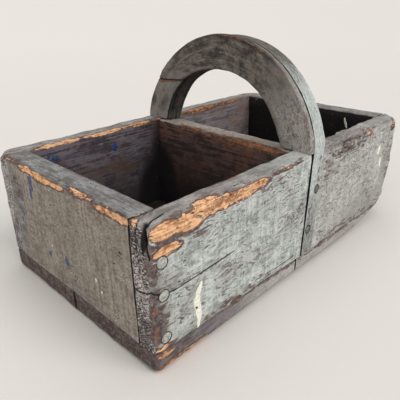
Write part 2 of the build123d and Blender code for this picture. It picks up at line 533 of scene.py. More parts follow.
def linear(code: str) -> tuple[float, float, float, float]:
    """Turns an sRGB hex colour into linear values for a shader.

    Args:
        code: The colour as #RRGGBB.

    Returns:
        Linear red, green, blue and full alpha.
    """
    shares = [int(code[start:start + 2], 16) / 255 for start in (1, 3, 5)]
    flat = [part / 12.92 if part <= 0.04045 else ((part + 0.055) / 1.055) ** 2.4 for part in shares]
    return (*flat, 1.0)


def add_node(
    tree: Tree, kind: str, sources: dict[str, object], output: str = "", **settings: object
) -> Socket | None:
    """Adds one node with its settings and links.

    Args:
        tree: The node tree.
        kind: The node's type.
        sources: By input, an output socket to link, a list of them, or a plain value.
        output: Identifier of the output that is wanted, if it isn't the first one in use.
        settings: The node's own options.

    Returns:
        The wanted output, or None where the node has none.
    """
    node = tree.nodes.new(kind)
    for key, value in settings.items():
        setattr(node, key, value)
    for key, source in sources.items():
        named = [place for place in node.inputs if key in (place.identifier, place.name)]
        socket = next((place for place in named if place.identifier == key), named[0])
        for value in source if isinstance(source, list) else [source]:
            if isinstance(value, Socket):
                tree.links.new(value, socket)
            else:
                socket.default_value = value
    return next((place for place in node.outputs if place.enabled and output in ("", place.identifier)), None)


def weighed_sum(tree: Tree, marks: dict[str, Socket], weights: dict[str, float]) -> Socket:
    """Adds up marks by weight.

    Args:
        tree: The shader's tree.
        marks: Sockets of all marks by name.
        weights: Weight of each mark in the sum.

    Returns:
        The socket of the sum.
    """
    total: float | Socket = 0.0
    for mark, weight in weights.items():
        terms = {"Value": marks[mark], "Value_001": weight, "Value_002": total}
        total = add_node(tree, "ShaderNodeMath", terms, operation="MULTIPLY_ADD")
    return total


def new_shader(name: str) -> tuple[Material, Tree]:
    """A new material with nothing in it.

    Args:
        name: Name of the material.

    Returns:
        The material and its empty node tree.
    """
    material = bpy.data.materials.new(name)
    material.use_nodes = True
    material.node_tree.nodes.clear()
    return material, material.node_tree


@dataclass(frozen=True)
class Surface:
    """How a finish takes the light: its roughness and how that varies, its shine and its relief."""

    roughness: float
    play: float
    limits: Span
    shine: float
    strength: float
    depth: float

    def close(self, tree: Tree, colour: Socket, speckle: Socket, height: Socket) -> None:
        """Ends a shader with this surface.

        Args:
            tree: The shader's tree.
            colour: Its colour.
            speckle: The pattern that its roughness follows between the limits.
            height: Its relief.
        """
        spread = {"Value": speckle, "From Min": self.limits[0], "From Max": self.limits[1]}
        spread |= {"To Min": self.roughness - self.play, "To Max": self.roughness + self.play}
        relief = {"Strength": self.strength, "Distance": self.depth * MM, "Height": height}
        looks = {
            "Base Color": colour,
            "Roughness": add_node(tree, "ShaderNodeMapRange", spread),
            "Specular IOR Level": self.shine,
            "Normal": add_node(tree, "ShaderNodeBump", relief),
        }
        shader = add_node(tree, "ShaderNodeBsdfPrincipled", looks)
        add_node(tree, "ShaderNodeOutputMaterial", {"Surface": shader})


@dataclass(frozen=True)
class WoodFinish:
    """Old painted pine: chalky paint over a dark first coat, worn to bare wood at the edges."""

    name: str
    paint_pale: str
    paint_deep: str
    paint_tint: str
    under_pale: str = "#75655F"
    under_deep: str = "#483D41"
    pit_tone: str = "#2C2425"
    stain_tone: str = "#7A5442"
    # The soot colour also serves as painted shade deep inside the box
    soot_tone: str = "#151111"
    fleck_tone: str = "#C4C3BA"
    # The colour of painted shade in gaps, cracks and hollows
    split_tone: str = "#120E0E"
    bare_pale: str = "#E9B88C"
    bare_deep: str = "#8E5B3C"
    rub_pale: str = "#9D9893"
    rub_deep: str = "#625C59"
    scuff_tone: str = "#736D69"
    inside_pale: str = "#726A70"
    inside_deep: str = "#3D363C"
    inside_tint: str = "#5F4736"
    end_pale: str = "#D8D1CD"
    end_deep: str = "#3B3133"
    roughness: float = 0.82
    scuffs: float = 0.0
    pits: float = 0.0
    wear: float = 0.0
    relief: float = 0.5
    sand: float = 0.6
    flecks: float = 0.0
    cloudy: float = 0.5
    streaky: float = 1.0
    drips: float = 0.0
    dashes: float = 0.0
    grit: float = 0.0
    soft: float = 0.0

    # What a board's mesh tells its finish
    ATTRIBUTES = ("bare", "grime", "rub", "soot", "gap_shade", "paint", "end")
    # Cell sizes in millimetres along and across the grain, detail and distortion of each pattern.
    # A streak is as wide as a growth ring of pine. Real fibres, about 0.04 mm thick, are too fine
    # to show, so they are drawn 1 mm wide, and the grit of the paint as pits and flecks of 2 mm
    PATTERNS = {
        "blotch": ((60, 32, 32), 3.0, 0.6),
        "cloud": ((17, 11, 11), 4.0, 0.5),
        "mottle": ((5.5, 4, 4), 5.0, 0.3),
        "streak": ((75, 1.7, 1.7), 4.0, 0.2),
        "fibre": ((16, 1.0, 1.0), 2.0, 0.0),
        "scuff": ((19, 5, 5), 4.0, 1.0),
        "pit": ((2.3, 1.9, 1.9), 2.0, 0.0),
        "fleck": ((1.7, 1.7, 1.7), 1.0, 0.0),
        "chip": ((11, 5.5, 5.5), 6.0, 0.6),
        "saw": ((40, 2.3, 0.6), 2.0, 0.0),
        "drip": ((3.0, 30, 55), 3.0, 0.4),
        "dash": ((8, 1.5, 1.5), 1.0, 0.4),
    }
    # The coats in order: the mask, and the tones that show where it is nil and where it is full
    COATS = {
        "paint_tones": ("tone", "paint_deep", "paint_pale"),
        "paint": ("half_tint", "paint_tones", "paint_tint"),
        "inside_tones": ("grain", "inside_deep", "inside_pale"),
        "inside": ("tint", "inside_tones", "inside_tint"),
        "bare": ("torn", "bare_deep", "bare_pale"),
        "rub": ("handled", "rub_deep", "rub_pale"),
        "rubbed": ("rub_on", "paint", "rub"),
        "under": ("old", "under_deep", "under_pale"),
        "end": ("end_grain", "end_deep", "end_pale"),
        # Soot and painted shade over unpainted faces
        "sooted_and_shaded": ("soot_and_shade_on", "inside", "soot_tone"),
        "painted": ("paint_on", "sooted_and_shaded", "rubbed"),
        "flecked": ("flecks", "painted", "fleck_tone"),
        "ended": ("end_on", "flecked", "end"),
        "stained": ("stain_on", "under", "stain_tone"),
        "chipped": ("under_on", "ended", "stained"),
        "worn": ("bare_on", "chipped", "bare"),
        "scuffed": ("scuffs", "worn", "scuff_tone"),
        "dashed": ("dashes", "scuffed", "pit_tone"),
        "pitted": ("pits", "dashed", "pit_tone"),
        # Painted shade in gaps, cracks, hollows and nail seats, over everything
        "gap_shade": ("gap_shade_on", "pitted", "split_tone"),
    }
    # How far each mark or mask stands out, in shares of the relief
    HEIGHTS = dict(
        streak=0.3, fibre=0.2, mottle=0.6, chip=0.5, pits=-0.5, dashes=-0.9, scuffs=-0.7, bare_on=-0.5,
        under_on=-0.25,
    )
    PAINT_TINT_SHARE = 0.6
    NOISE_MIDDLE = 0.5

    def recipes(self) -> dict[str, tuple[float, float, dict[str, float]]]:
        """The masks of the finish.

        Returns:
            By name, the sums at which a mask starts and is full, and the weights of the marks in its sum.
        """
        cloudy, grit, soft = self.cloudy, self.grit, self.soft
        return {
            "tone": (-0.36, 0.36, dict(
                cloud=cloudy, mottle=1.1 - grit, streak=0.4, drip=self.drips, pit=self.sand)),
            "tint": (-0.10, 0.55, dict(blotch=1.8, cloud=0.6, mottle=0.8, streak=0.4)),
            "grain": (-0.20, 0.20, dict(streak=1.1, fibre=0.5, cloud=1.0, mottle=0.5)),
            "torn": (-0.32, 0.22, dict(streak=1.0, mottle=1.3, cloud=0.6, pit=0.6)),
            "rub_on": (0.05, 1.0, dict(rub=1.0, mottle=1.2 - grit, streak=0.8, pit=0.8 + grit, cloud=0.6)),
            # Soot and painted shade, where the faces are unpainted
            "soot_and_shade_on": (0.05, 0.95, dict(soot=1.0, cloud=0.5, streak=0.4)),
            "old": (-0.22, 0.28, dict(mottle=1.6, pit=0.9, streak=0.6)),
            "scuffs": (0.084 - self.scuffs, 0.098 - self.scuffs, dict(
                scuff=-1.0, mottle=0.13, blotch=0.09, paint=0.1)),
            "pits": (0.21 - self.pits, 0.28 - self.pits, dict(pit=1.0, cloud=0.5, streak=0.2)),
            "flecks": (0.36 - self.flecks, 0.42 - self.flecks, dict(fleck=1.0, cloud=0.5, paint=0.10)),
            "paint_on": (0.45, 0.65, dict(paint=1.0, mottle=0.7, streak=0.4)),
            "handled": (-0.30, 0.30, dict(
                streak=self.streaky, mottle=1.0 - grit, fibre=0.4, cloud=0.5 + cloudy, pit=grit)),
            "dashes": (0.36 - self.dashes, 0.40 - self.dashes, dict(dash=1.0, blotch=0.4, paint=0.1)),
            "under_on": (0.40 - self.wear - soft / 2, 0.72 - self.wear + soft / 2, dict(
                bare=2.1, grime=1.0, chip=2.0 - 2 * soft, mottle=1.3, streak=1.1)),
            "bare_on": (0.92 - soft, 1.22 + soft, dict(
                bare=1.7, chip=2.6 - 3 * soft, mottle=1.7 - 2 * soft, pit=1.2, streak=1.0, grime=-0.8)),
            "stain_on": (0.30, 0.80, dict(bare=1.0, mottle=0.8, streak=0.5)),
            "end_on": (0.55, 0.85, dict(end=1.0, mottle=0.5)),
            "end_grain": (-0.12, 0.46, dict(saw=3.0, pit=0.3, cloud=0.7, blotch=0.8)),
            # Painted shade in gaps, cracks and hollows
            "gap_shade_on": (0.2, 0.7, dict(gap_shade=1.0)),
        }

    def marks(self, tree: Tree) -> dict[str, Socket]:
        """Brings in the board's attributes and the patterns along its grain.

        Args:
            tree: The shader's tree.

        Returns:
            Their sockets by name.
        """
        marks = {}
        for key in self.ATTRIBUTES:
            marks[key] = add_node(tree, "ShaderNodeAttribute", {}, "Fac", attribute_name=key)
        grain = add_node(tree, "ShaderNodeAttribute", {}, "Vector", attribute_name="grain")
        for key, (cell, detail, twist) in self.PATTERNS.items():
            sizes = {"Vector": grain, "Vector_001": tuple(1 / size for size in cell)}
            scaled = add_node(tree, "ShaderNodeVectorMath", sizes, operation="MULTIPLY")
            form = {"Vector": scaled, "Scale": 1.0, "Detail": detail, "Distortion": twist}
            level = {"Value": add_node(tree, "ShaderNodeTexNoise", form), "Value_001": self.NOISE_MIDDLE}
            marks[key] = add_node(tree, "ShaderNodeMath", level, operation="SUBTRACT")
        # Scuffs run along the lines where their noise changes sign
        marks["scuff"] = add_node(tree, "ShaderNodeMath", {"Value": marks["scuff"]}, operation="ABSOLUTE")
        return marks

    def material(self) -> Material:
        """Builds the finish as a shader that reads the board's own attributes.

        Returns:
            The new material.
        """
        material, tree = new_shader(self.name)
        marks = self.marks(tree)
        masks = {}
        for key, (low, high, weights) in self.recipes().items():
            limits = {"Value": weighed_sum(tree, marks, weights), "From Min": low, "From Max": high}
            masks[key] = add_node(tree, "ShaderNodeMapRange", limits, interpolation_type="SMOOTHSTEP")
        tint = {"Value": masks["tint"], "Value_001": self.PAINT_TINT_SHARE}
        masks["half_tint"] = add_node(tree, "ShaderNodeMath", tint, operation="MULTIPLY")
        tones: dict[str, Socket] = {}
        for key, (mask, *names) in self.COATS.items():
            under, over = (tones[name] if name in tones else linear(getattr(self, name)) for name in names)
            sources = {"Factor_Float": masks[mask], "A_Color": under, "B_Color": over}
            tones[key] = add_node(tree, "ShaderNodeMix", sources, data_type="RGBA")
        height = weighed_sum(tree, marks | masks, self.HEIGHTS)
        surface = Surface(
            self.roughness, play=0.1, limits=(-0.3, 0.3), shine=0.3, strength=0.8, depth=self.relief
        )
        surface.close(tree, tones["gap_shade"], marks["mottle"], height)
        return material


# Chalky milk paint on pine: pale grey-green, scored and pitted by use
FRONT_PAINT = WoodFinish(
    "milk_paint_grey_green_on_pine", "#D0D6D2", "#838783", "#938A88", scuffs=-0.002, relief=0.55, cloudy=0.9,
    drips=0.5, dashes=0.02,
)
# The same paint, more even and taupe where the weather reached it
FAR_PAINT = replace(
    FRONT_PAINT, name="milk_paint_taupe_grey_on_pine", paint_pale="#C8C9C4", paint_deep="#8B8986",
    paint_tint="#968B88", cloudy=0.5, sand=1.0, pits=0.01,
)
# The same paint over a board whose inner edge hands have polished to soft brown
BACK_PAINT = replace(
    FRONT_PAINT, name="milk_paint_grey_on_hand_polished_pine", bare_pale="#B98A66", bare_deep="#6E4E38",
    under_pale="#66503F", under_deep="#3C2E28", soft=0.4,
    inside_pale="#8C8487", inside_deep="#605759", inside_tint="#7A6353",
)
# The same paint rubbed and sooted to an even olive grey on the ends
END_PAINT = WoodFinish(
    "milk_paint_olive_grey_on_pine", "#A2988C", "#6C635B", "#868376", end_pale="#857C73", rub_pale="#8C8B89",
    rub_deep="#5C5A59", scuffs=-0.02, pits=0.02, sand=1.0, flecks=0.03, dashes=0.02, scuff_tone="#6B635B",
    cloudy=0.8, drips=1.0,
)
# Grey paint of the floor's edges, scuffed by the ground
FLOOR_PAINT = WoodFinish(
    "milk_paint_dirty_grey_on_pine", "#BBB8B2", "#85817C", "#857C77", rub_pale="#7A7377", rub_deep="#433C3F",
    scuffs=-0.02, end_pale="#665955", end_deep="#382F2D", bare_pale="#CB9A74", bare_deep="#70492F",
    flecks=-0.3, inside_pale="#3A3130", inside_deep="#1D1817", inside_tint="#30261F",
)
# Dark tones of the handle's bare inner edge, partly painted shade under the arch
HANDLE_INSIDE = dict(inside_pale="#5E5853", inside_deep="#2A2522", inside_tint="#473C34")
# Handle board, dark from hands, with a sandy grain of worn paint
FACE_PAINT = WoodFinish(
    "hand_darkened_paint_on_ash", "#ABA7A1", "#68635E", "#7A736E", under_pale="#5A504A", under_deep="#2B2524",
    rub_pale="#80776F", rub_deep="#262121", scuffs=-0.08, pits=0.03, wear=-0.35, bare_pale="#8C6248",
    bare_deep="#553A2C", sand=1.2, flecks=-0.3, cloudy=0.7, streaky=0.5, grit=0.3, soft=0.4, **HANDLE_INSIDE,
)
# Edge of the thick layer, paler where hands did not reach
BOW_PAINT = WoodFinish(
    "milk_paint_pale_green_on_ash", "#CCD4D2", "#9BA19E", "#A7AAA5", rub_pale="#69655C", rub_deep="#37332D",
    scuffs=-0.02, wear=-0.1, sand=1.2, **HANDLE_INSIDE,
)
# Bare pine, brown-black from oil and years of tools, its top rubbed grey
DIVIDER_WOOD = WoodFinish(
    "oil_darkened_pine", "#C6BEB2", "#7C7066", "#86735F", under_pale="#5C4232", under_deep="#33241D",
    bare_pale="#9E6A48", bare_deep="#5C3A28", soft=0.4, inside_pale="#5F4A44", inside_deep="#302422",
    inside_tint="#744C38", end_pale="#5A4A40", end_deep="#2E2420", wear=-0.1, scuffs=-0.08,
)


@dataclass(frozen=True)
class MottledFinish:
    """A plain coat with a fine mottle of two tones, as on spilt paint, pitch, old iron and paper."""

    name: str
    pale: str
    deep: str
    roughness: float = 0.5
    lump: float = 2.5
    detail: float = 4.0
    limits: Span = (0.36, 0.62)

    def material(self) -> Material:
        """Builds the finish on the object's own coordinates.

        Returns:
            The new material.
        """
        material, tree = new_shader(self.name)
        place = add_node(tree, "ShaderNodeTexCoord", {}, "Object")
        lumps = {"Vector": place, "Scale": 1 / (self.lump * MM), "Detail": self.detail}
        noise = add_node(tree, "ShaderNodeTexNoise", lumps)
        spread = {"Value": noise, "From Min": self.limits[0], "From Max": self.limits[1]}
        share = add_node(tree, "ShaderNodeMapRange", spread)
        tones = {"Factor_Float": share, "A_Color": linear(self.deep), "B_Color": linear(self.pale)}
        colour = add_node(tree, "ShaderNodeMix", tones, data_type="RGBA")
        surface = Surface(self.roughness, play=0.15, limits=(0.0, 1.0), shine=0.35, strength=0.6, depth=0.2)
        surface.close(tree, colour, noise, noise)
        return material


# White and blue gloss paint, dried in a run and in dabs
WHITE_SPILL = MottledFinish("white_paint_run", "#F1F0E2", "#D9D6C4")
BLUE_SPILL = MottledFinish("blue_paint_dabs", "#374E7E", "#202D50")
# A bead of pine pitch that has burst through the paint
PITCH = MottledFinish("dark_pine_pitch", "#4A4038", "#221C19", roughness=0.4)
# Iron nail heads, painted over with the walls and rubbed at the rim
PAINTED_NAIL = MottledFinish("painted_iron_nail", "#B4B7B0", "#85827D", roughness=0.75)
# The same under the dark of hands on the handle
DARK_NAIL = MottledFinish("hand_darkened_iron_nail", "#7E7973", "#443D39", roughness=0.75)
# The same where the paint has gone and rust shows
RUSTY_NAIL = MottledFinish("rusty_iron_nail", "#6B6560", "#3B3331", roughness=0.7)
# Matt backdrop paper, which takes a soft shadow
PAPER = MottledFinish("matt_paper_floor", "#D6D2CC", "#D6D2CC", roughness=0.85)


@dataclass
class Body:
    """Main sizes of the box, read from the frame, and how the ground has worn it."""

    rim: float = node_end("side_board_front_left", Face.TOP)
    floor: float = node_end("floor_board_back", Face.TOP)
    half_length: float = node_end("floor_board_back", Face.RIGHT)
    half_width: float = node_end("floor_board_back", Face.BACK)
    handle_x: float = node_end("handle_face_bow", Face.LEFT)
    side: float = 20.0
    end: float = 24.0
    divider: float = 24.0
    lean: float = math.radians(3.9)
    lean_bend: int = 3
    corner_shares: Row = (0.10, 0.455, 0.71)
    worn_depth: float = 60.0
    worn_height: float = 18.0
    left_radius: float = 7.0
    right_radius: float = 14.0
    radius_run: float = 170.0
    corner_radius: float = 32.0
    corner_length: float = 55.0
    corner_height: float = 62.0

    @property
    def wall(self) -> float:
        """Height of the walls above the floor."""
        return self.rim - self.floor

    @property
    def inner(self) -> float:
        """Half the width of the box inside."""
        return self.half_width - self.side

    def leaning(self, points: Array, root: float, tip: float) -> Array:
        """Slants a side board's root with the handle, leaving its tip upright.

        Args:
            points: Places on the straight board.
            root: Where along the box the board meets the handle at the rim.
            tip: Where its other end lies.

        Returns:
            The places with the root slanted.
        """
        share = bounded((points[:, 0] - tip) / (root - tip)) ** self.lean_bend
        moved = points.copy()
        moved[:, 0] += share * (points[:, 2] - self.rim) * math.tan(self.lean)
        return moved

    def ground_wear(self, points: Array) -> Array:
        """Rounds the box's lower front edge, most of all at its right corner.

        Args:
            points: Places on the boards.

        Returns:
            The places after years of being dragged over the ground.
        """
        x, y, z = points.T
        gaps = np.column_stack([self.half_length - np.abs(x), self.half_width + y, z])
        run = bounded((x + self.half_length) / self.radius_run)
        lower = self.left_radius + (self.right_radius - self.left_radius) * run
        corner = fading(gaps[:, 0], self.corner_length) * fading(z, self.corner_height)
        radius = lower * fading(z, self.worn_height) + self.corner_radius * (x > 0) * corner
        radius = (fading(gaps[:, 1], self.worn_depth) * radius)[:, None]
        over = np.clip(radius - np.maximum(gaps, 0), 0, None)
        length = np.linalg.norm(over, axis=1, keepdims=True)
        excess = over * (1 - np.minimum(1, radius / np.maximum(length, TINY)))
        excess[:, 0] *= np.where(x > 0, -1, 1)
        moved = points + excess
        moved[:, 2] = np.maximum(moved[:, 2], 0)
        return moved

    def corner_seats(self, end: int, side: int) -> list[NailSeat]:
        """Seats of the nails through a side board into an end board; end and side are -1 or 1."""
        x, y = end * (self.half_length - self.end / 2), side * self.half_width
        return [NailSeat((x, y, self.floor + self.wall * rise), (0, side, 0)) for rise in self.corner_shares]


@dataclass
class Walls:
    """The long sides and the ends of the box."""

    body: Body
    boards: dict[str, Plank] = field(default_factory=dict)

    def side_board(self, end: int, side: int) -> Plank:
        """One quarter of the long sides.

        Args:
            end: -1 for the left end of the box, 1 for the right.
            side: -1 for the front, 1 for the back.

        Returns:
            The board, ready to build.
        """
        body = self.body
        names = ({-1: "front", 1: "back"}[side], {-1: "left", 1: "right"}[end])
        low, high = node_box("side_board_{}_{}".format(*names))
        if end > 0:
            low[0] += body.wall * math.tan(body.lean)
        root, tip = (high[0], low[0]) if end < 0 else (low[0], high[0])
        outer, inner = (Face.FRONT, Face.BACK) if side < 0 else (Face.BACK, Face.FRONT)
        tip_face, root_face = (Face.LEFT, Face.RIGHT) if end < 0 else (Face.RIGHT, Face.LEFT)
        board = Plank(
            "{}_{}_side".format(*names), low, high, seed=3 + 5 * (end + 1) + 2 * (side + 1),
            rounds={
                edge(outer, Face.TOP): 6.0 if side < 0 else 4.0,
                edge(outer, tip_face): 5.0,
                edge(Face.TOP, tip_face): 5.0,
                edge(inner, Face.TOP): 2.2,
                edge(root_face, outer): 0.5,
                edge(root_face, Face.TOP): 0.8,
                edge(outer, Face.UNDER): 2.0,
            },
            worn={edge(outer, Face.TOP): 0.55, edge(inner, Face.TOP): 0.55, edge(outer, tip_face): 0.5},
            painted={outer: 1.0, Face.TOP: 0.9, tip_face: 0.8},
            seats=body.corner_seats(end, side), seat_radius=5.0, seat_ring_shade=0.75, soot=1.0,
            place=lambda points: body.ground_wear(body.leaning(points, root, tip)),
        )
        board.mark(Trace.ROUND, (tip, side * body.half_width, body.rim, 16, 16, 16, 5.0))
        # Painted shade on the root faces of the left boards, in the gap beside the handle's leg
        if end < 0:
            board.mark(Trace.DARK, (root, 0, body.rim, 0.7, 500, 400, 1.5))
        if side > 0:
            board.mark(Trace.RUB, (*(low[:2] + high[:2]) / 2, body.rim, 400, 60, 8, 1.0))
        return board

    def front_left(self) -> Plank:
        """The near side board, whose top has worn to bare orange wood.

        Returns:
            The board, ready to build.
        """
        board = self.side_board(-1, -1)
        y = -self.body.half_width
        board.mark(
            Trace.RUB, (-170, y + 10, self.body.rim, 215, 60, 8, 1.0), (-198, y, 60, 20, 6, 60, 0.8),
            (-150, y, 21, 60, 4, 14, 0.6),
        )
        board.mark(
            Trace.BARE, (-185, y, 125, 18, 7, 9.5, 1.6), (-185, y, 108.5, 17, 4, 6, 1.5),
            (-162, y + 1, 123, 20, 8, 11, 1.5), (-142, y + 2, 127, 24, 9, 9.5, 1.6),
            (-120, y + 1, 126, 26, 7, 8, 1.6), (-98, y + 1, 125.5, 22, 6, 7, 1.5),
            (-78, y + 1, 127, 18, 5, 6, 1.2), (-38, y + 1, 130, 34, 4, 3, 0.7),
            (-199, y, 42, 5, 4, 12, 0.75), (-200, y + 1, 62, 4, 5, 9, 0.7), (-196, y, 33, 6, 4, 4, 0.65),
            (-200, y + 15, 131, 5, 5, 4, 1.0), (-192, y, 24, 14, 4, 3.5, 0.8), (-107, y, 23, 9, 4, 3, 0.85),
        )
        board.mark(
            Trace.GRIME, (-188, y, 115.2, 32, 5, 3.4, 1.0), (-156, y, 111, 44, 4, 9, 0.5),
            (-48, y, 122, 44, 4, 9, 0.4), (-196, y, 96, 14, 8, 18, 0.5), (-196, y, 52, 14, 8, 30, 0.85),
            (-198, y, 74, 10, 6, 10, 0.8), (-202, y + 10, 45, 4, 14, 34, 0.35), (-30, y, 100, 18, 4, 12, 0.3),
            (-8, y, 74, 12, 4, 36, 0.4), (-155, y, 38, 46, 4, 18, 0.3), (-110, y, 25, 100, 4, 10, 0.55),
        )
        # Painted shade in the gap by the chipped corner and along the joint with the floor
        board.mark(
            Trace.DARK, (-202, y + 5, 120, 4, 3.4, 12, 1.0), (-100, y, self.body.floor, 400, 6, 1.0, 0.8)
        )
        knocks = [
            (-163, 88), (-166, 66), (-122, 47), (-168, 53), (-179, 42), (-175, 64), (-168, 92), (-60, 96),
            (-158, 128), (-149, 126), (-116, 129), (-7, 84), (-12, 90), (-11, 77), (-8, 68), (-14, 99),
        ]
        board.knock([(x, y, z) for x, z in knocks], dent=(3.2, 4, 1.6, 1.0), dark=(2.4, 4, 0.9, 0.8))
        crack = ((-202, -100, 75), (-202, -110, 75.5), (-202, -120, 79), (-193, -120, 74), (-180, -120, 71),
                 (-164, -120, 72), (-111, -120, 75))
        chip = ((-196, -113, 133), (-202, -114.5, 133), (-202, -116, 127), (-202, -117.5, 120))
        knot = tuple((-99 + 2 * math.cos(turn), y, 47 + 2 * math.sin(turn)) for turn in range(7))
        board.grooves += [
            Groove(crack, 0.7, 1.8),
            Groove(chip, 3.1, 4.0),
            Groove(((-180, -111.5, 133), (-196, -113, 133)), 0.9, 1.6),
            Groove(((-202, -117.5, 120), (-202, -119, 112), (-201, -120, 107)), 1.2, 1.8),
            Groove(((-202, -108, 133), (-202, -107, 110), (-202, -109, 92)), 0.5, 0.8),
            Groove(((-80, y, 29.5), (-45, y, 27.5), (-14, y, 27)), 0.4, 0.6),
            Groove(knot, 0.5, 0.7),
        ]
        board.coarse = 1.6
        board.fine_spans = {0: [(-202, -84)], 2: [(66, 84), (104, 133)]}
        return board

    def front_right(self) -> Plank:
        """The far half of the front, its top and corner knocked round.

        Returns:
            The board, ready to build.
        """
        board = self.side_board(1, -1)
        y = -self.body.half_width
        board.rounds |= {
            edge(Face.FRONT, Face.TOP): 8.0,
            edge(Face.FRONT, Face.RIGHT): 15.0,
            edge(Face.TOP, Face.RIGHT): 8.0,
        }
        board.ragged, board.rough, board.knocks, board.coarse = 0.75, 0.5, 3.5, 1.8
        board.worn = dict.fromkeys(board.worn, 0.35)
        # Knobs that stand out of the rim are dents turned outwards
        board.mark(
            Trace.DENT, (37, y + 2, 130, 12, 12, 9, -2.2), (80, y + 2, 132, 10, 12, 9, -2.0),
            (108, y + 2, 129, 14, 12, 9, -2.2), (126, y + 2, 128, 8, 12, 9, -1.6),
        )
        board.mark(Trace.GNARL, (82, y + 2, 130, 68, 15, 13, 3.8))
        knocks = [
            (36, 125), (45, 120), (64, 119), (30, 110), (40, 105), (34, 101), (25, 102), (72, 122), (32, 117),
            (52, 115),
        ]
        board.knock([(x, y, z) for x, z in knocks], dent=(3.5, 5, 2.6, 1.2), dark=(2.6, 5, 1.2, 0.8))
        board.mark(
            Trace.BARE, (124, y + 1, 128, 8, 7, 5, 0.9), (104, y + 3, 132, 6, 6, 3, 0.7),
            (188, y + 1, 122, 8, 5, 8, 0.7),
        )
        board.mark(
            Trace.GRIME, (78, y, 121, 64, 9, 13, 0.75), (38, y, 110, 20, 6, 18, 0.35),
            (160, y, 120, 44, 4, 5, 0.45), (100, y, 25, 110, 4, 8, 0.55), (194, y, 60, 16, 10, 44, 0.45),
        )
        board.mark(
            Trace.RUB, (66, y + 10, 133, 86, 40, 9, 1.0), (170, y + 10, 133, 60, 40, 9, 0.75),
            (196, y, 70, 34, 8, 60, 0.7), (130, y, 32, 100, 6, 34, 0.6), (16, y, 72, 16, 6, 30, 0.6),
        )
        return board

    def back_left(self) -> Plank:
        """The back board of the near compartment, its inner top edge rubbed to bare wood.

        Returns:
            The board, ready to build.
        """
        board = self.side_board(-1, 1)
        root, y = board.high[0], self.body.inner
        board.mark(
            Trace.BARE, (-140, y, 132, 40, 4.5, 4, 1.2), (-88, y, 132, 36, 5, 4.5, 1.3),
            (-40, y, 132, 34, 4, 4, 0.9),
        )
        # Painted shade where the inner face meets the handle's leg, strongest low down
        board.mark(Trace.SOOT, (root, y, 30, 46, 14, 80, 0.9), (root, y, 60, 26, 14, 120, 0.65))
        board.soot = 0.75
        return board

    def back_right(self) -> Plank:
        """The back board of the far compartment, its inner top edge rubbed near the handle.

        Returns:
            The board, ready to build.
        """
        board = self.side_board(1, 1)
        y = self.body.inner
        board.mark(Trace.BARE, (70, y, 131, 54, 6, 7, 0.68), (128, y, 132, 54, 5, 6, 0.6))
        board.soot = 0.25
        return board

    def end_board(self, end: int) -> Plank:
        """An end of the box, between the long sides.

        Args:
            end: -1 for the left end of the box, 1 for the right.

        Returns:
            The board, ready to build.
        """
        name = {-1: "left", 1: "right"}[end]
        low, high = node_box(f"end_board_{name}")
        outer, inner = (Face.LEFT, Face.RIGHT) if end < 0 else (Face.RIGHT, Face.LEFT)
        board = Plank(
            f"{name}_end", low, high, seed=31 + end, grain_axis=1,
            rounds={edge(outer, Face.TOP): 5.0, edge(inner, Face.TOP): 2.0},
            worn={edge(outer, Face.TOP): 0.5, edge(inner, Face.TOP): 0.2},
            painted={outer: 1.0, Face.TOP: 0.95},
            swell=0.35, rough=0.15, soot=1.0, place=self.body.ground_wear,
        )
        board.mark(Trace.RUB, ((low[0] + high[0]) / 2, 0, self.body.rim, 60, 300, 6, 1.0))
        return board

    def left_end(self) -> Plank:
        """The near end, with orange wear along the outside of its top.

        Returns:
            The board, ready to build.
        """
        board = self.end_board(-1)
        x = -self.body.half_length
        board.mark(
            Trace.BARE, (x + 1, 96, 131, 5, 12, 3.5, 0.9), (x + 1, 56, 129.5, 5, 18, 4.5, 1.4),
            (x + 1, 30, 128, 5, 26, 5.5, 1.6), (x + 1, 4, 128.5, 5, 18, 4.5, 1.5),
            (x + 2, -36, 131.5, 5, 32, 3, 0.85), (x + 1, -70, 129.5, 5, 20, 4.5, 1.5),
            (x + 1, -90, 129.5, 5, 18, 4.5, 1.6),
        )
        board.mark(Trace.GRIME, (x, 84, 105, 4, 22, 40, 0.5), (x, -10, 126, 5, 100, 5, 0.4))
        # Painted shade along the joint with the front side board
        board.mark(Trace.DARK, (x, board.low[1], 75, 9, 1.3, 300, 1.3))
        board.mark(Trace.RUB, (x, 94, 75, 4, 24, 90, 0.8), (x, -20, 26, 4, 90, 14, 0.4))
        return board

    def right_end(self) -> Plank:
        """The far end, its inner face darkened with soot and painted shade deep in the box.

        Returns:
            The board, ready to build.
        """
        board = self.end_board(1)
        # Soot and painted shade over the whole inner face
        board.mark(Trace.SOOT, (board.low[0], 0, 75, 14, 300, 110, 1.0))
        return board

    def build(self) -> None:
        """Makes the six wall boards."""
        paints = (FRONT_PAINT, FAR_PAINT, BACK_PAINT, END_PAINT)
        front, far, back, end = (paint.material() for paint in paints)
        dressed = {
            "side_board_front_left": (self.front_left(), front),
            "side_board_front_right": (self.front_right(), far),
            "side_board_back_left": (self.back_left(), front),
            "side_board_back_right": (self.back_right(), back),
            "end_board_left": (self.left_end(), end),
            "end_board_right": (self.right_end(), end),
        }
        for node, (board, paint) in dressed.items():
            self.boards[node] = board
            settle(board.build(), paint, [node])


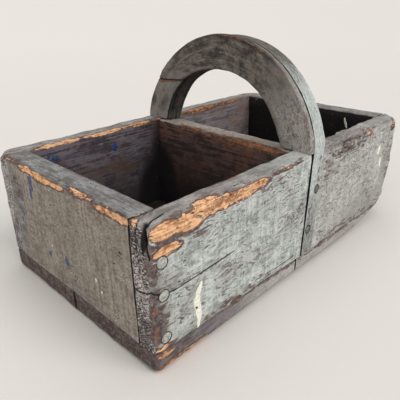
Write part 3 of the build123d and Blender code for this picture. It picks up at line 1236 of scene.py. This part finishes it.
@dataclass
class Floor:
    """The lengthwise floor boards, flush with the walls outside."""

    body: Body
    boards: dict[str, Plank] = field(default_factory=dict)
    nail_shares: Row = (0.22, 0.5, 0.78)
    cross_share: float = 0.35
    seam: float = 1.3
    seat_depth: float = 2.0
    worn_seat: float = 3.6

    def seats(self, side: int, ends: list[int], runs: list[Span]) -> list[NailSeat]:
        """Seats of the nails that are driven up through one board.

        Args:
            side: -1 for a board at the front, 1 for the back.
            ends: The ends of the box that it reaches, -1 for the left one.
            runs: Stretches of side board above it.

        Returns:
            The seats.
        """
        body = self.body
        edge_y = side * (body.half_width - body.side / 2)
        cross_y = side * body.inner * self.cross_share
        steps = itertools.product(runs, self.nail_shares)
        spots = [(start + (stop - start) * share, edge_y) for (start, stop), share in steps]
        spots += [(end * (body.half_length - body.end / 2), cross_y) for end in ends]
        if 1 in ends:
            foot = body.handle_x + math.cos(body.lean) * body.divider / 2 - math.sin(body.lean) * body.wall
            spots.append((foot, cross_y))
        return [NailSeat((x, y, 0), (0, 0, -1)) for x, y in spots]

    def board(self, name: str, faces: set[Face], seed: int, seats: list[NailSeat]) -> Plank:
        """One floor board.

        Args:
            name: Place of the board, as in its node's name.
            faces: Sides of it that show outside the box.
            seed: Picks its pattern of wear.
            seats: Seats of the nails under it.

        Returns:
            The board, ready to build.
        """
        low, high = node_box(f"floor_board_{name}")
        under, top = ([edge(side, level) for side in faces] for level in (Face.UNDER, Face.TOP))
        corners = [pair for pair in EDGES if pair <= faces]
        board = Plank(
            f"{name}_floor", low, high, seed=seed,
            rounds=dict.fromkeys(under, 4.0) | dict.fromkeys(top, 1.8) | dict.fromkeys(corners, 7.0),
            worn=dict.fromkeys(under, 0.6) | dict.fromkeys(top, 0.2),
            painted=dict.fromkeys(faces, 1.0) | {Face.UNDER: 0.4},
            seats=seats, seat_depth=self.seat_depth, swell=0.35, place=self.body.ground_wear,
        )
        y = -self.body.half_width
        # Soot and painted shade over the floor inside the box
        board.mark(Trace.SOOT, (0, 0, high[2], 900, 900, 6, 0.6))
        board.mark(Trace.RUB, (-202, 0, 10, 150, 400, 60, 1.2))
        board.mark(
            Trace.GRIME, (-202, 0, 14, 8, 400, 30, 0.5), (-202, y, 14, 60, 8, 30, 0.5),
            (0, y, 21, 300, 6, 4, 0.6),
        )
        board.mark(Trace.BARE, (-172, y, 3, 48, 12, 6, 1.4), (-192, y, 17, 12, 6, 4, 1.1))
        # Painted shade on the faces where the floor boards meet
        for side in {Face.LEFT, Face.RIGHT, Face.FRONT, Face.BACK} - faces:
            axis, _ = side.value
            at, reach = (low + high) / 2, np.full(3, 500.0)
            at[axis], reach[axis] = board.limit(side), self.seam
            board.mark(Trace.DARK, (*at, *reach, 1.2))
        return board

    def build(self) -> None:
        """Makes the three floor boards."""
        joint = (
            node_end("floor_board_front_left", Face.RIGHT) + node_end("floor_board_front_right", Face.LEFT)
        ) / 2
        left, right = (-self.body.half_length, joint), (joint, self.body.half_length)
        layout = {
            "front_left": ({Face.FRONT, Face.LEFT}, 51, self.seats(-1, [-1], [left])),
            "front_right": ({Face.FRONT, Face.RIGHT}, 52, self.seats(-1, [1], [right])),
            "back": ({Face.BACK, Face.LEFT, Face.RIGHT}, 53, self.seats(1, [-1, 1], [left, right])),
        }
        self.boards = {f"floor_board_{name}": self.board(name, *row) for name, row in layout.items()}
        # Nails under the worn corner lie deeper, so that the slanted ground doesn't bare them
        self.boards["floor_board_front_right"].seat_depth = self.worn_seat
        paint = FLOOR_PAINT.material()
        for node, board in self.boards.items():
            settle(board.build(), paint, [node])


@dataclass
class Handle:
    """The bowed handle of two layers and the divider under it.

    The layers are made straight: X runs along the arch from the front foot, Y from its inner
    to its outer edge, and Z through its thickness from the left face.
    """

    body: Body
    face: float = 8.0
    bow: float = 19.0
    inner_radius: float = 87.5
    outer_radius: float = 123.5
    drop: float = 20.5
    joint: float = 48.0
    dip: float = 1.5
    play: float = 0.2
    foot_back: float = 0.6
    foot_short: float = 1.3
    lap_margin: float = 2.0
    slim: float = 5.0
    slim_angle: float = 2.4
    slim_spread: float = 0.55
    leg_nails: tuple[Span, ...] = ((0.26, 0.36), (0.65, 0.68))
    brad_angles: Row = (20, 55, 90, 122)
    foot_brads: Row = (0.28, 0.72)
    boards: dict[str, Plank] = field(default_factory=dict)

    BRAD_SEAT = dict(seat_radius=1.9, seat_depth=0.5, seat_ring_shade=0.25)

    @property
    def depth(self) -> float:
        """Width of the handle's band."""
        return self.outer_radius - self.inner_radius

    @property
    def mean_radius(self) -> float:
        """Radius of the middle of the band."""
        return (self.outer_radius + self.inner_radius) / 2

    @property
    def leg(self) -> float:
        """Length of a straight leg below the arch's centre."""
        return self.body.wall - self.drop

    @property
    def face_length(self) -> float:
        """Length of the long face piece along its middle."""
        start, stop = self.face_angles(np.array(self.mean_radius))
        return float(stop - start) * self.mean_radius

    def face_angles(self, radius: Array) -> Pair:
        """The angles at which the long face piece starts and ends, at a distance from the centre."""
        return np.arcsin(self.drop / radius), math.pi - np.arcsin((self.drop + self.joint) / radius)

    def stand(self, offset: Array, y: Array, rise: Array) -> Array:
        """Puts places of the leaning handle into the box's frame.

        Args:
            offset: Distance from the handle's left face.
            y: Place across the box.
            rise: Height above the rim along the lean.

        Returns:
            The places, one per row.
        """
        cosine, sine = math.cos(self.body.lean), math.sin(self.body.lean)
        x = self.body.handle_x + cosine * offset + sine * rise
        return np.column_stack([x, y, self.body.rim - sine * offset + cosine * rise])

    def band(self, angle: Array, across: Array) -> Pair:
        """A place on the arch; its inner edge is slimmer over the back leg.

        Args:
            angle: Angle up from the front foot, in radians.
            across: Distance from the inner edge, as if the band were even.

        Returns:
            The place across the box, and the rise above the rim.
        """
        reach = np.minimum(self.outer_radius, self.body.half_width / np.maximum(np.abs(np.cos(angle)), TINY))
        slimmed = self.slim * fading(angle - self.slim_angle, self.slim_spread)
        inner = self.inner_radius + slimmed * np.sqrt(bounded(np.sin(angle)))
        radius = inner + across * (reach - inner) / self.depth
        return -radius * np.cos(angle), radius * np.sin(angle) - self.drop

    def bow_place(self, along: Array, across: Array, offset: Array) -> Array:
        """Bends the straight bow: up the front leg, over the crown and down the back leg.

        Args:
            along: Distance along the bow from its front foot.
            across: Distance from its inner edge.
            offset: Distance from its left face.

        Returns:
            The places in the box's frame.
        """
        arc = math.pi * self.mean_radius
        y, rise = self.band(bounded((along - self.leg) / arc) * math.pi, across)
        rise += np.minimum(along - self.leg, 0) + np.minimum(self.leg + arc - along, 0)
        return self.stand(offset + self.face, y, rise)

    def face_place(self, along: Array, across: Array, offset: Array) -> Array:
        """Bends the long piece of the face from the front foot to its joint over the back leg."""
        start, stop = self.face_angles(self.inner_radius + across)
        return self.stand(offset, *self.band(start + (stop - start) * along / self.face_length, across))

    def foot_place(self, along: Array, across: Array, offset: Array) -> Array:
        """Bends the short piece of the face over the back leg."""
        angle = math.pi - np.arcsin((along + self.drop) / (self.inner_radius + across))
        return self.stand(offset, *self.band(angle, across))

    def divider_place(self, offset: Array, y: Array, rise: Array) -> Array:
        """Leans the divider and thins its ends where they lap in front of the legs."""
        thinned = offset * (self.face - self.play) / self.body.divider
        return self.stand(np.where(np.abs(y) > self.inner_radius - self.play, thinned, offset), y, rise)

    def bow_board(self) -> Plank:
        """The thick layer, with legs that stand on the floor.

        Returns:
            The board, ready to build.
        """
        run, depth, wall = 2 * self.leg + math.pi * self.mean_radius, self.depth, self.body.wall
        board = Plank(
            "handle_thick_layer", np.zeros(3), np.array([run, depth, self.bow]), seed=71,
            rounds={
                edge(Face.BACK, Face.TOP): 0.6,
                edge(Face.FRONT, Face.TOP): 2.5,
                edge(Face.BACK, Face.UNDER): 1.2,
            },
            painted={Face.BACK: 1.0, Face.TOP: 0.9},
            seats=[
                NailSeat((along, depth, self.bow * share), (0, 1, 0))
                for height, share in self.leg_nails
                for along in (wall * height, run - wall * height)
            ],
            place=lambda points: self.bow_place(*points.T),
        )
        # Painted shade on the legs' faces in the gaps beside the side boards, and along the seam between the
        # layers
        board.mark(
            Trace.DARK, (0, depth / 2, 0, wall, 60, 0.6, 4.0), (run, depth / 2, 0, wall, 60, 0.6, 4.0),
            (run / 2, depth, 0, run, 4, 0.9, 2.0),
        )
        # Hands rubbed the outer edge; the two patches on the inner edge at the feet darken the legs inside
        # the box as painted shade
        board.mark(
            Trace.RUB, (run / 2, depth, 10, 105, 30, 30, 1.3), (20, depth, 10, 70, 8, 30, 0.6),
            (20, 0, 10, 100, 16, 40, 1.8), (run - 20, 0, 10, 100, 16, 40, 1.8),
        )
        # Painted shade on the inner edge under the arch
        board.mark(Trace.SOOT, (run / 2, 0, 10, 200, 12, 40, 0.25))
        board.mark(
            Trace.GRIME, (92, depth, self.bow, 24, 8, 12, 0.6), (50, depth, self.bow, 30, 8, 7, 0.45),
            (46, depth, 6, 28, 8, 12, 0.5),
        )
        knocks = [(66, 2.5), (24, 15), (31, 13), (72, 16), (80, 17), (58, 3)]
        board.knock([(x, depth, z) for x, z in knocks], dent=(3, 4, 1.8, 0.8), dark=(2.4, 4, 1.2, 0.7))
        return board

    def face_board(self) -> Plank:
        """The long piece of the thin layer, darkest over the crown where hands held it.

        Returns:
            The board, ready to build.
        """
        length, depth = self.face_length, self.depth
        start = math.asin(self.drop / self.mean_radius)
        brads = [(math.radians(angle) - start) * self.mean_radius for angle in self.brad_angles]
        board = Plank(
            "handle_thin_layer", np.zeros(3), np.array([length, depth, self.face]), seed=72,
            rounds={
                edge(Face.BACK, Face.UNDER): 2.0,
                edge(Face.FRONT, Face.UNDER): 1.6,
                edge(Face.BACK, Face.TOP): 1.2,
            },
            worn={edge(Face.BACK, Face.UNDER): 0.7},
            painted={Face.UNDER: 1.0, Face.BACK: 1.0, Face.LEFT: 0.8, Face.RIGHT: 0.8},
            seats=[NailSeat((along, depth / 2, 0), (0, 0, -1)) for along in brads],
            place=lambda points: self.face_place(*points.T), **self.BRAD_SEAT,
        )
        board.mark(Trace.RUB, (150, depth * 0.6, 0, 118, 60, 14, 1.3), (150, 0, 4, 260, 8, 14, 0.9))
        # Painted shade on the inner edge under the arch
        board.mark(Trace.SOOT, (150, 0, 4, 300, 8, 30, 0.15))
        board.mark(Trace.ROUND, (length, depth, 0, 10, 10, 20, 2.5))
        board.mark(
            Trace.GRIME, (130, depth, 0, 60, 10, 6, 0.5), (175, depth * 0.7, 0, 40, 16, 6, 0.3),
            (95, depth * 0.2, 0, 30, 12, 6, 0.3),
        )
        # Painted shade along the seam between the layers and in the joint with the short piece
        board.mark(
            Trace.DARK, (120, depth, self.face, 200, 3, 1.3, 2.0), (length, depth / 2, 0, 0.9, 60, 14, 1.5)
        )
        return board

    def foot_board(self) -> Plank:
        """The short piece of the thin layer, set a little back from the long one.

        Returns:
            The board, ready to build.
        """
        depth, joint, back = self.depth, self.joint, self.foot_back
        low, high = np.array([0, 0, back]), np.array([joint, depth - self.foot_short, self.face])
        board = Plank(
            "handle_thin_foot", low, high, seed=73,
            rounds={edge(Face.BACK, Face.UNDER): 2.0, edge(Face.FRONT, Face.UNDER): 1.2},
            painted={Face.UNDER: 1.0, Face.BACK: 1.0},
            seats=[NailSeat((joint * share, depth / 2, back), (0, 0, -1)) for share in self.foot_brads],
            place=lambda points: self.foot_place(*points.T), **self.BRAD_SEAT,
        )
        board.mark(Trace.RUB, (30, depth / 2, 0, 50, 60, 14, 0.5), (20, depth * 0.3, 0, 16, 12, 8, 0.9))
        # Painted shade on the inner edge under the arch
        board.mark(Trace.SOOT, (joint, 0, 4, 50, 8, 30, 0.15))
        board.mark(Trace.BARE, (joint, depth * 0.6, 0, 6, 40, 6, 0.7))
        board.mark(Trace.GRIME, (20, depth, 0, 20, 15, 6, 1.4))
        # Painted shade in the joint with the long piece
        board.mark(Trace.DARK, (joint, depth / 2, 0, 0.9, 60, 14, 1.5))
        return board

    def divider_board(self) -> Plank:
        """The wall between the compartments, rubbed round and orange along its near top edge.

        Returns:
            The board, ready to build.
        """
        inner = self.body.inner
        lap = (self.inner_radius - self.lap_margin, self.inner_radius + self.lap_margin)
        low, high = np.array([0, -inner, -self.body.wall]), np.array([self.body.divider, inner, -self.dip])
        board = Plank(
            "divider", low, high, seed=74, grain_axis=1,
            rounds={edge(Face.LEFT, Face.TOP): 5.0, edge(Face.RIGHT, Face.TOP): 4.0},
            worn={edge(Face.LEFT, Face.TOP): 0.4},
            painted={Face.TOP: 0.9},
            soot=1.0, fine_spans={1: [lap, (-lap[1], -lap[0])]},
            place=lambda points: self.divider_place(*points.T),
        )
        board.mark(Trace.BARE, (0, -52, -4, 7, 66, 7, 0.75), (0, 24, -4, 6, 70, 6, 0.5))
        # Painted shade in the low back corner of the near compartment
        board.mark(Trace.SOOT, (0, inner, -94, 14, 36, 72, 1.2))
        return board

    def build(self) -> None:
        """Makes the bow, the two face pieces and the divider."""
        face, bow, wood = (finish.material() for finish in (FACE_PAINT, BOW_PAINT, DIVIDER_WOOD))
        dressed = {
            "handle_bow": (self.bow_board(), "handle_paint", bow),
            "handle_face_bow": (self.face_board(), "handle_paint", face),
            "handle_face_foot": (self.foot_board(), "handle_paint", face),
            "divider_board": (self.divider_board(), "divider_wood", wood),
        }
        for node, (board, slot, material) in dressed.items():
            self.boards[node] = board
            settle(board.build(), material, [node])


@dataclass(frozen=True)
class NailSize:
    """Sizes of one kind of nail, in the order of the node tree's inputs."""

    head_radius: float
    head_depth: float
    shank_radius: float
    length: float


NAIL_INPUTS = ("Head Radius", "Head Depth", "Shank Radius", "Length")
CORNER_NAIL = NailSize(4.7, 1.4, 1.7, 62.0)
LEG_NAIL = NailSize(4.0, 1.4, 1.7, 68.0)
FLOOR_NAIL = NailSize(4.0, 1.4, 1.7, 52.0)
BRAD = NailSize(1.6, 0.9, 0.9, 21.0)


@dataclass
class NailWork:
    """All nails and brads, set on the seats of the boards by one node tree."""

    walls: Walls
    floor: Floor
    handle: Handle
    tilt: float = 0.05
    seed: int = 7
    head_sides: int = 24
    head_rings: int = 10
    shank_sides: int = 12
    head_bulge: float = 0.55
    head_lift: float = 0.3
    tip_share: float = 0.3

    def tree(self) -> Tree:
        """The node tree that sets one nail on each point of a mesh.

        Returns:
            The tree, with a named input for each size.
        """
        tree = bpy.data.node_groups.new("nail_set", "GeometryNodeTree")
        inputs = {"Seats": "Geometry", **dict.fromkeys(NAIL_INPUTS, "Float"), "Material": "Material"}
        for name, kind in inputs.items():
            tree.interface.new_socket(name, in_out="INPUT", socket_type=f"NodeSocket{kind}")
        tree.interface.new_socket("Nails", in_out="OUTPUT", socket_type="NodeSocketGeometry")
        given = {place.name: place for place in tree.nodes.new("NodeGroupInput").outputs}
        shares = (
            ("Head Depth", self.head_bulge), ("Head Depth", self.head_lift), ("Shank Radius", self.tip_share),
            ("Length", -1.0),
        )
        bulge, lift, tip, end = (
            add_node(tree, "ShaderNodeMath", {"Value": given[size], "Value_001": share}, operation="MULTIPLY")
            for size, share in shares
        )
        radius = given["Head Radius"]
        ball = {"Segments": self.head_sides, "Rings": self.head_rings, "Radius": 1.0}
        form = {
            "Geometry": add_node(tree, "GeometryNodeMeshUVSphere", ball),
            "Scale": add_node(tree, "ShaderNodeCombineXYZ", {"X": radius, "Y": radius, "Z": bulge}),
            "Translation": add_node(tree, "ShaderNodeCombineXYZ", {"Z": lift}),
        }
        head = add_node(tree, "GeometryNodeTransform", form)
        spike = {
            "Vertices": self.shank_sides, "Depth": given["Length"], "Radius Top": given["Shank Radius"],
            "Radius Bottom": tip,
        }
        drop = add_node(tree, "ShaderNodeCombineXYZ", {"Z": end})
        form = {"Geometry": add_node(tree, "GeometryNodeMeshCone", spike), "Translation": drop}
        shank = add_node(tree, "GeometryNodeTransform", form)
        nail = add_node(tree, "GeometryNodeJoinGeometry", {"Geometry": [head, shank]})
        named = {"Name": "facing"}
        facing = add_node(tree, "GeometryNodeInputNamedAttribute", named, data_type="FLOAT_VECTOR")
        turn = add_node(tree, "FunctionNodeAlignRotationToVector", {"Vector": facing}, axis="Z")
        setting = {"Points": given["Seats"], "Instance": nail, "Rotation": turn}
        nails = add_node(tree, "GeometryNodeInstanceOnPoints", setting)
        limit = (self.tilt, self.tilt, math.pi)
        chances = {"Min": tuple(-part for part in limit), "Max": limit, "Seed": self.seed}
        chance = add_node(tree, "FunctionNodeRandomValue", chances, data_type="FLOAT_VECTOR")
        lean = add_node(tree, "FunctionNodeEulerToRotation", {"Euler": chance})
        tilted = add_node(tree, "GeometryNodeRotateInstances", {"Instances": nails, "Rotation": lean})
        real = add_node(tree, "GeometryNodeRealizeInstances", {"Geometry": tilted})
        smooth = add_node(tree, "GeometryNodeSetShadeSmooth", {"Geometry": real})
        done = add_node(tree, "GeometryNodeSetMaterial", {"Geometry": smooth, "Material": given["Material"]})
        add_node(tree, "NodeGroupOutput", {"Nails": done})
        return tree

    def nails(self, node: str, seats: Pair, size: NailSize, tree: Tree, material: Material) -> None:
        """Makes the nails of one CAD node.

        Args:
            node: The node that they replace.
            seats: Bottoms of their seats, and the directions that their heads face.
            size: Their sizes.
            tree: The node tree that sets them.
            material: Their finish.
        """
        bottoms, facing = seats
        piece = new_piece(f"{node}_set", bottoms, np.empty((0, 4), int), facing=facing)
        modifier = piece.modifiers.new("nail_set", "NODES")
        modifier.node_group = tree
        given = {name: length * MM for name, length in zip(NAIL_INPUTS, astuple(size))}
        given["Material"] = material
        for socket in tree.interface.items_tree:
            if socket.name in given:
                modifier[socket.identifier] = given[socket.name]
        shaped = piece.evaluated_get(bpy.context.evaluated_depsgraph_get())
        mesh = bpy.data.meshes.new_from_object(shaped)
        piece.modifiers.clear()
        piece.data = mesh
        settle(piece, material, [node])

    def build(self) -> None:
        """Makes the nails of the corners, the floor and the legs, and the brads of the handle."""
        tree = self.tree()
        painted, dark, rusty = (finish.material() for finish in (PAINTED_NAIL, DARK_NAIL, RUSTY_NAIL))
        for node, board in self.walls.boards.items():
            if board.seats:
                name = node.replace("side_board", "corner_nails")
                self.nails(name, board.seated(), CORNER_NAIL, tree, painted)
        for node, board in self.floor.boards.items():
            self.nails(node.replace("board", "nails"), board.seated(), FLOOR_NAIL, tree, rusty)
        bottoms, facing = self.handle.boards["handle_bow"].seated()
        for start, place in enumerate(("front", "back")):
            self.nails(f"leg_nails_{place}", (bottoms[start::2], facing[start::2]), LEG_NAIL, tree, dark)
        for part in ("bow", "foot"):
            seats = self.handle.boards[f"handle_face_{part}"].seated()
            self.nails(f"brads_face_{part}", seats, BRAD, tree, dark)


@dataclass
class PaintMarks:
    """Runs and dabs of spilt paint on the boards."""

    walls: Walls
    thickness: float = 0.5
    sink: float = 0.6
    bed: float = 0.05
    run_cells: tuple[int, int] = (60, 9)
    run_lump: float = 3.0
    run_ragged: float = 0.35
    run_taper: int = 8
    side_shift: float = 9.0
    dab_cells: int = 15
    dab_lump: float = 0.7
    dab_ragged: float = 0.55

    def laid(self, board: Plank, spots: Array, crest: Array, upper: Array) -> Array:
        """Lays a skin of paint on a worn board.

        Args:
            board: The board that carries the paint.
            spots: Places on its sharp surface.
            crest: Height of the paint at each.
            upper: 1 for a place on top of the skin, 0 for one under it.

        Returns:
            The places in the box's frame.
        """
        worn, outward, _ = board.weather(spots)
        lift = np.where(upper > 0, crest - self.bed, -self.sink)
        return board.place(worn + outward * lift[:, None])

    def run(self, board: Plank, path: list[Point], widths: list[float], seed: int, axis: int = 0) -> Pair:
        """A run of paint down a board.

        Args:
            board: The board that carries it.
            path: The middle of the run, from its top.
            widths: Half its width at each of those places.
            seed: Picks the shape of its edge.
            axis: The axis that it is wide along.

        Returns:
            Points and quads of a closed mesh.
        """
        length, width = self.run_cells
        cells, quads = box_grid([np.linspace(0, 1, length), np.linspace(-1, 1, width), np.array([0.0, 1.0])])
        along, across, upper = cells.T
        steps = np.linspace(0, 1, len(path))
        spots = np.column_stack([np.interp(along, steps, part) for part in np.array(path, float).T])
        shifted = spots + self.side_shift * np.sign(across)[:, None]
        ragged = 1 + self.run_ragged * wood_noise(shifted, self.run_lump, seed)
        taper = np.sqrt(bounded(1 - np.abs(2 * along - 1) ** self.run_taper))
        spots[:, axis] += across * np.interp(along, steps, widths) * ragged * taper
        crest = self.thickness * np.sqrt(bounded(1 - across**2)) * taper
        return self.laid(board, spots, crest, upper), quads

    def dab(self, board: Plank, side: Face, at: Point, reach: Span, seed: int, crown: float = 0.35) -> Pair:
        """A dab of paint on one side of a board.

        Args:
            board: The board that carries it.
            side: Which side it is on.
            at: Its middle.
            reach: Half its width and half its height.
            seed: Picks the shape of its edge.
            crown: How far its middle stands out.

        Returns:
            Points and quads of a closed mesh.
        """
        square = np.linspace(-1, 1, self.dab_cells)
        cells, quads = box_grid([square, square, np.array([0.0, 1.0])])
        first, second, upper = cells.T
        disc = np.column_stack([first * np.sqrt(1 - second**2 / 2), second * np.sqrt(1 - first**2 / 2)])
        out = np.linalg.norm(disc, axis=1)
        rim = np.column_stack([disc / np.maximum(out, TINY)[:, None], np.zeros(len(disc))])
        ragged = 1 + self.dab_ragged * wood_noise(rim, self.dab_lump, seed)
        spots = np.tile(np.array(at, float), (len(disc), 1))
        axes = [axis for axis in range(3) if axis != side.value[0]]
        spots[:, axes] += disc * ragged[:, None] * reach
        return self.laid(board, spots, crown * bounded(1 - out**2), upper), quads

    def build(self) -> None:
        """Makes the white runs and spots, the blue dabs and the bead of pitch."""
        boards, body = self.walls.boards, self.walls.body
        front, right = boards["side_board_front_left"], boards["side_board_front_right"]
        end, far, back = boards["end_board_left"], boards["end_board_right"], boards["side_board_back_left"]
        y, x, inner = -body.half_width, -body.half_length, body.inner
        long_run = [(-150.8, 66), (-153.6, 60), (-156.6, 52), (-155.6, 41), (-154, 31), (-156.6, 20.5)]
        white = [
            self.run(front, [(along, y, z) for along, z in long_run], [1.7, 2.5, 3.1, 3.7, 2.6, 1.7], 91),
            self.run(front, [(-40, y, 83), (-34, y, 84.5), (-28, y, 83)], [0.3, 0.5, 0.3], 97),
            self.run(front, [(-31, y, 81), (-25, y, 82), (-19, y, 80)], [0.3, 0.5, 0.3], 98),
            self.run(right, [(159, y, 104), (157, y, 99), (155, y, 93)], [1.6, 3.0, 1.6], 92),
            self.run(right, [(163, y, 88), (165, y, 81), (166.5, y, 75)], [1.4, 2.8, 1.8], 93),
            self.dab(end, Face.LEFT, (x, 28, 60), (1.0, 1.0), 94),
            self.run(far, [(178, -60, 125), (178, -62, 118), (178, -64.5, 111)], [1.0, 1.8, 1.0], 99, axis=1),
            self.dab(end, Face.LEFT, (x, -45, 56), (1.2, 2.6), 95),
            self.dab(end, Face.LEFT, (x, -52, 47), (1.2, 1.6), 96),
        ]
        end_dabs = [
            (51, 117, 3.4, 7), (55, 105, 3.2, 7), (77, 93.5, 2.4, 4), (36, 47.6, 3, 4.2), (3, 54, 3.4, 5.4),
            (30, 88, 1.4, 2), (80, 77, 2.2, 3.4), (86, 69, 2, 3),
        ]
        back_dabs = [(-150, 116, 4, 4.5), (-157, 121, 2, 3), (-73, 111, 4, 4.5)]
        blue = [
            self.dab(end, Face.LEFT, (x, across, z), reach, seed)
            for seed, (across, z, *reach) in enumerate(end_dabs, 100)
        ] + [
            self.dab(back, Face.FRONT, (along, inner, z), reach, seed)
            for seed, (along, z, *reach) in enumerate(back_dabs, 110)
        ]
        pitch = [self.dab(front, Face.FRONT, (-157.6, y, 43), (1.7, 1.9), 113, crown=1.1)]
        for name, marks, finish in (
            ("white_paint_marks", white, WHITE_SPILL),
            ("blue_paint_marks", blue, BLUE_SPILL),
            ("pitch_spot", pitch, PITCH),
        ):
            starts = np.cumsum([0, *(len(points) for points, _ in marks)])
            quads = [facing_out(*mark) + start for mark, start in zip(marks, starts)]
            piece = new_piece(name, np.concatenate([points for points, _ in marks]), np.concatenate(quads))
            settle(piece, finish.material(), [])


@dataclass
class Studio:
    """Camera at the photo's angle, soft lamps and a plain pale floor."""

    camera_at: Point = (-356.1, -326.2, 270.0)
    yaw: float = 0.7887
    pitch: float = 0.4308
    roll: float = -0.0197
    lens: float = 39.5
    clip_start: float = 10.0
    floor_flat: float = 3000.0
    floor_reach: float = 30000.0
    floor_rise: float = 12000.0
    floor_sides: int = 48
    sky_colour: str = "#E9E9EA"
    sky_strength: float = 0.32

    def camera(self) -> None:
        """Sets the camera."""
        data = bpy.data.cameras.new("camera")
        data.lens = self.lens
        data.clip_start = self.clip_start * MM
        view = bpy.data.objects.new("camera", data)
        bpy.context.scene.collection.objects.link(view)
        level = Vector((math.sin(self.yaw), -math.cos(self.yaw), 0))
        forward = Vector((math.cos(self.yaw), math.sin(self.yaw), 0))
        ahead = math.cos(self.pitch) * forward - math.sin(self.pitch) * Vector((0, 0, 1))
        rise = level.cross(ahead)
        right = math.cos(self.roll) * level + math.sin(self.roll) * rise
        up = math.cos(self.roll) * rise - math.sin(self.roll) * level
        turn = Matrix((right, up, -ahead)).transposed().to_4x4()
        view.matrix_world = Matrix.Translation(Vector(self.camera_at) * MM) @ turn
        bpy.context.scene.camera = view

    def lamp(self, name: str, at: Point, spread: float, strength: float) -> None:
        """Adds a broad soft light from one side, even over the whole floor.

        Args:
            name: Name of the light.
            at: The side that it comes from.
            spread: How broad it looks, in degrees.
            strength: Its strength.
        """
        data = bpy.data.lights.new(name, "SUN")
        data.angle = math.radians(spread)
        data.energy = strength
        lamp = bpy.data.objects.new(name, data)
        bpy.context.scene.collection.objects.link(lamp)
        lamp.rotation_euler = (-Vector(at)).to_track_quat("-Z", "Y").to_euler()

    def floor(self) -> None:
        """Makes a flat floor that rises far off on all sides."""
        number = np.arange(self.floor_sides)
        turns = number * 2 * math.pi / self.floor_sides
        ring = np.column_stack([np.cos(turns), np.sin(turns), np.zeros(self.floor_sides)])
        points = np.concatenate([ring * self.floor_flat, ring * self.floor_reach + (0, 0, self.floor_rise)])
        flat = [[0, start, start + 1, start + 2] for start in range(1, self.floor_sides - 2, 2)]
        after = np.roll(number, -1)
        rise = np.column_stack([number, after, after + self.floor_sides, number + self.floor_sides])
        floor = new_piece("studio_floor", points, np.concatenate([flat, rise[:, ::-1]]))
        floor.data.materials.append(PAPER.material())

    def build(self) -> None:
        """Makes the floor, the lights and the camera."""
        self.floor()
        self.lamp("key", (0.2, -1, 1), spread=40, strength=1.9)
        self.lamp("fill", (-1, -0.2, 0.7), spread=50, strength=0.85)
        self.lamp("top", (0.1, 0.25, 1), spread=60, strength=0.9)
        world = bpy.data.worlds.new("studio")
        world.use_nodes = True
        sky = world.node_tree.nodes["Background"].inputs
        sky["Color"].default_value = linear(self.sky_colour)
        sky["Strength"].default_value = self.sky_strength
        bpy.context.scene.world = world
        bpy.context.scene.view_settings.view_transform = "Standard"
        self.camera()


def main() -> None:
    """Builds every sub-assembly in order; each piece is logged with its count of faces."""
    logging.basicConfig(level=logging.INFO, format="%(name)s: %(message)s")
    body = Body()
    walls, floor, handle = Walls(body), Floor(body), Handle(body)
    for group in (floor, walls, handle, NailWork(walls, floor, handle), PaintMarks(walls), Studio()):
        group.build()


if __name__ == "__main__":
    main()
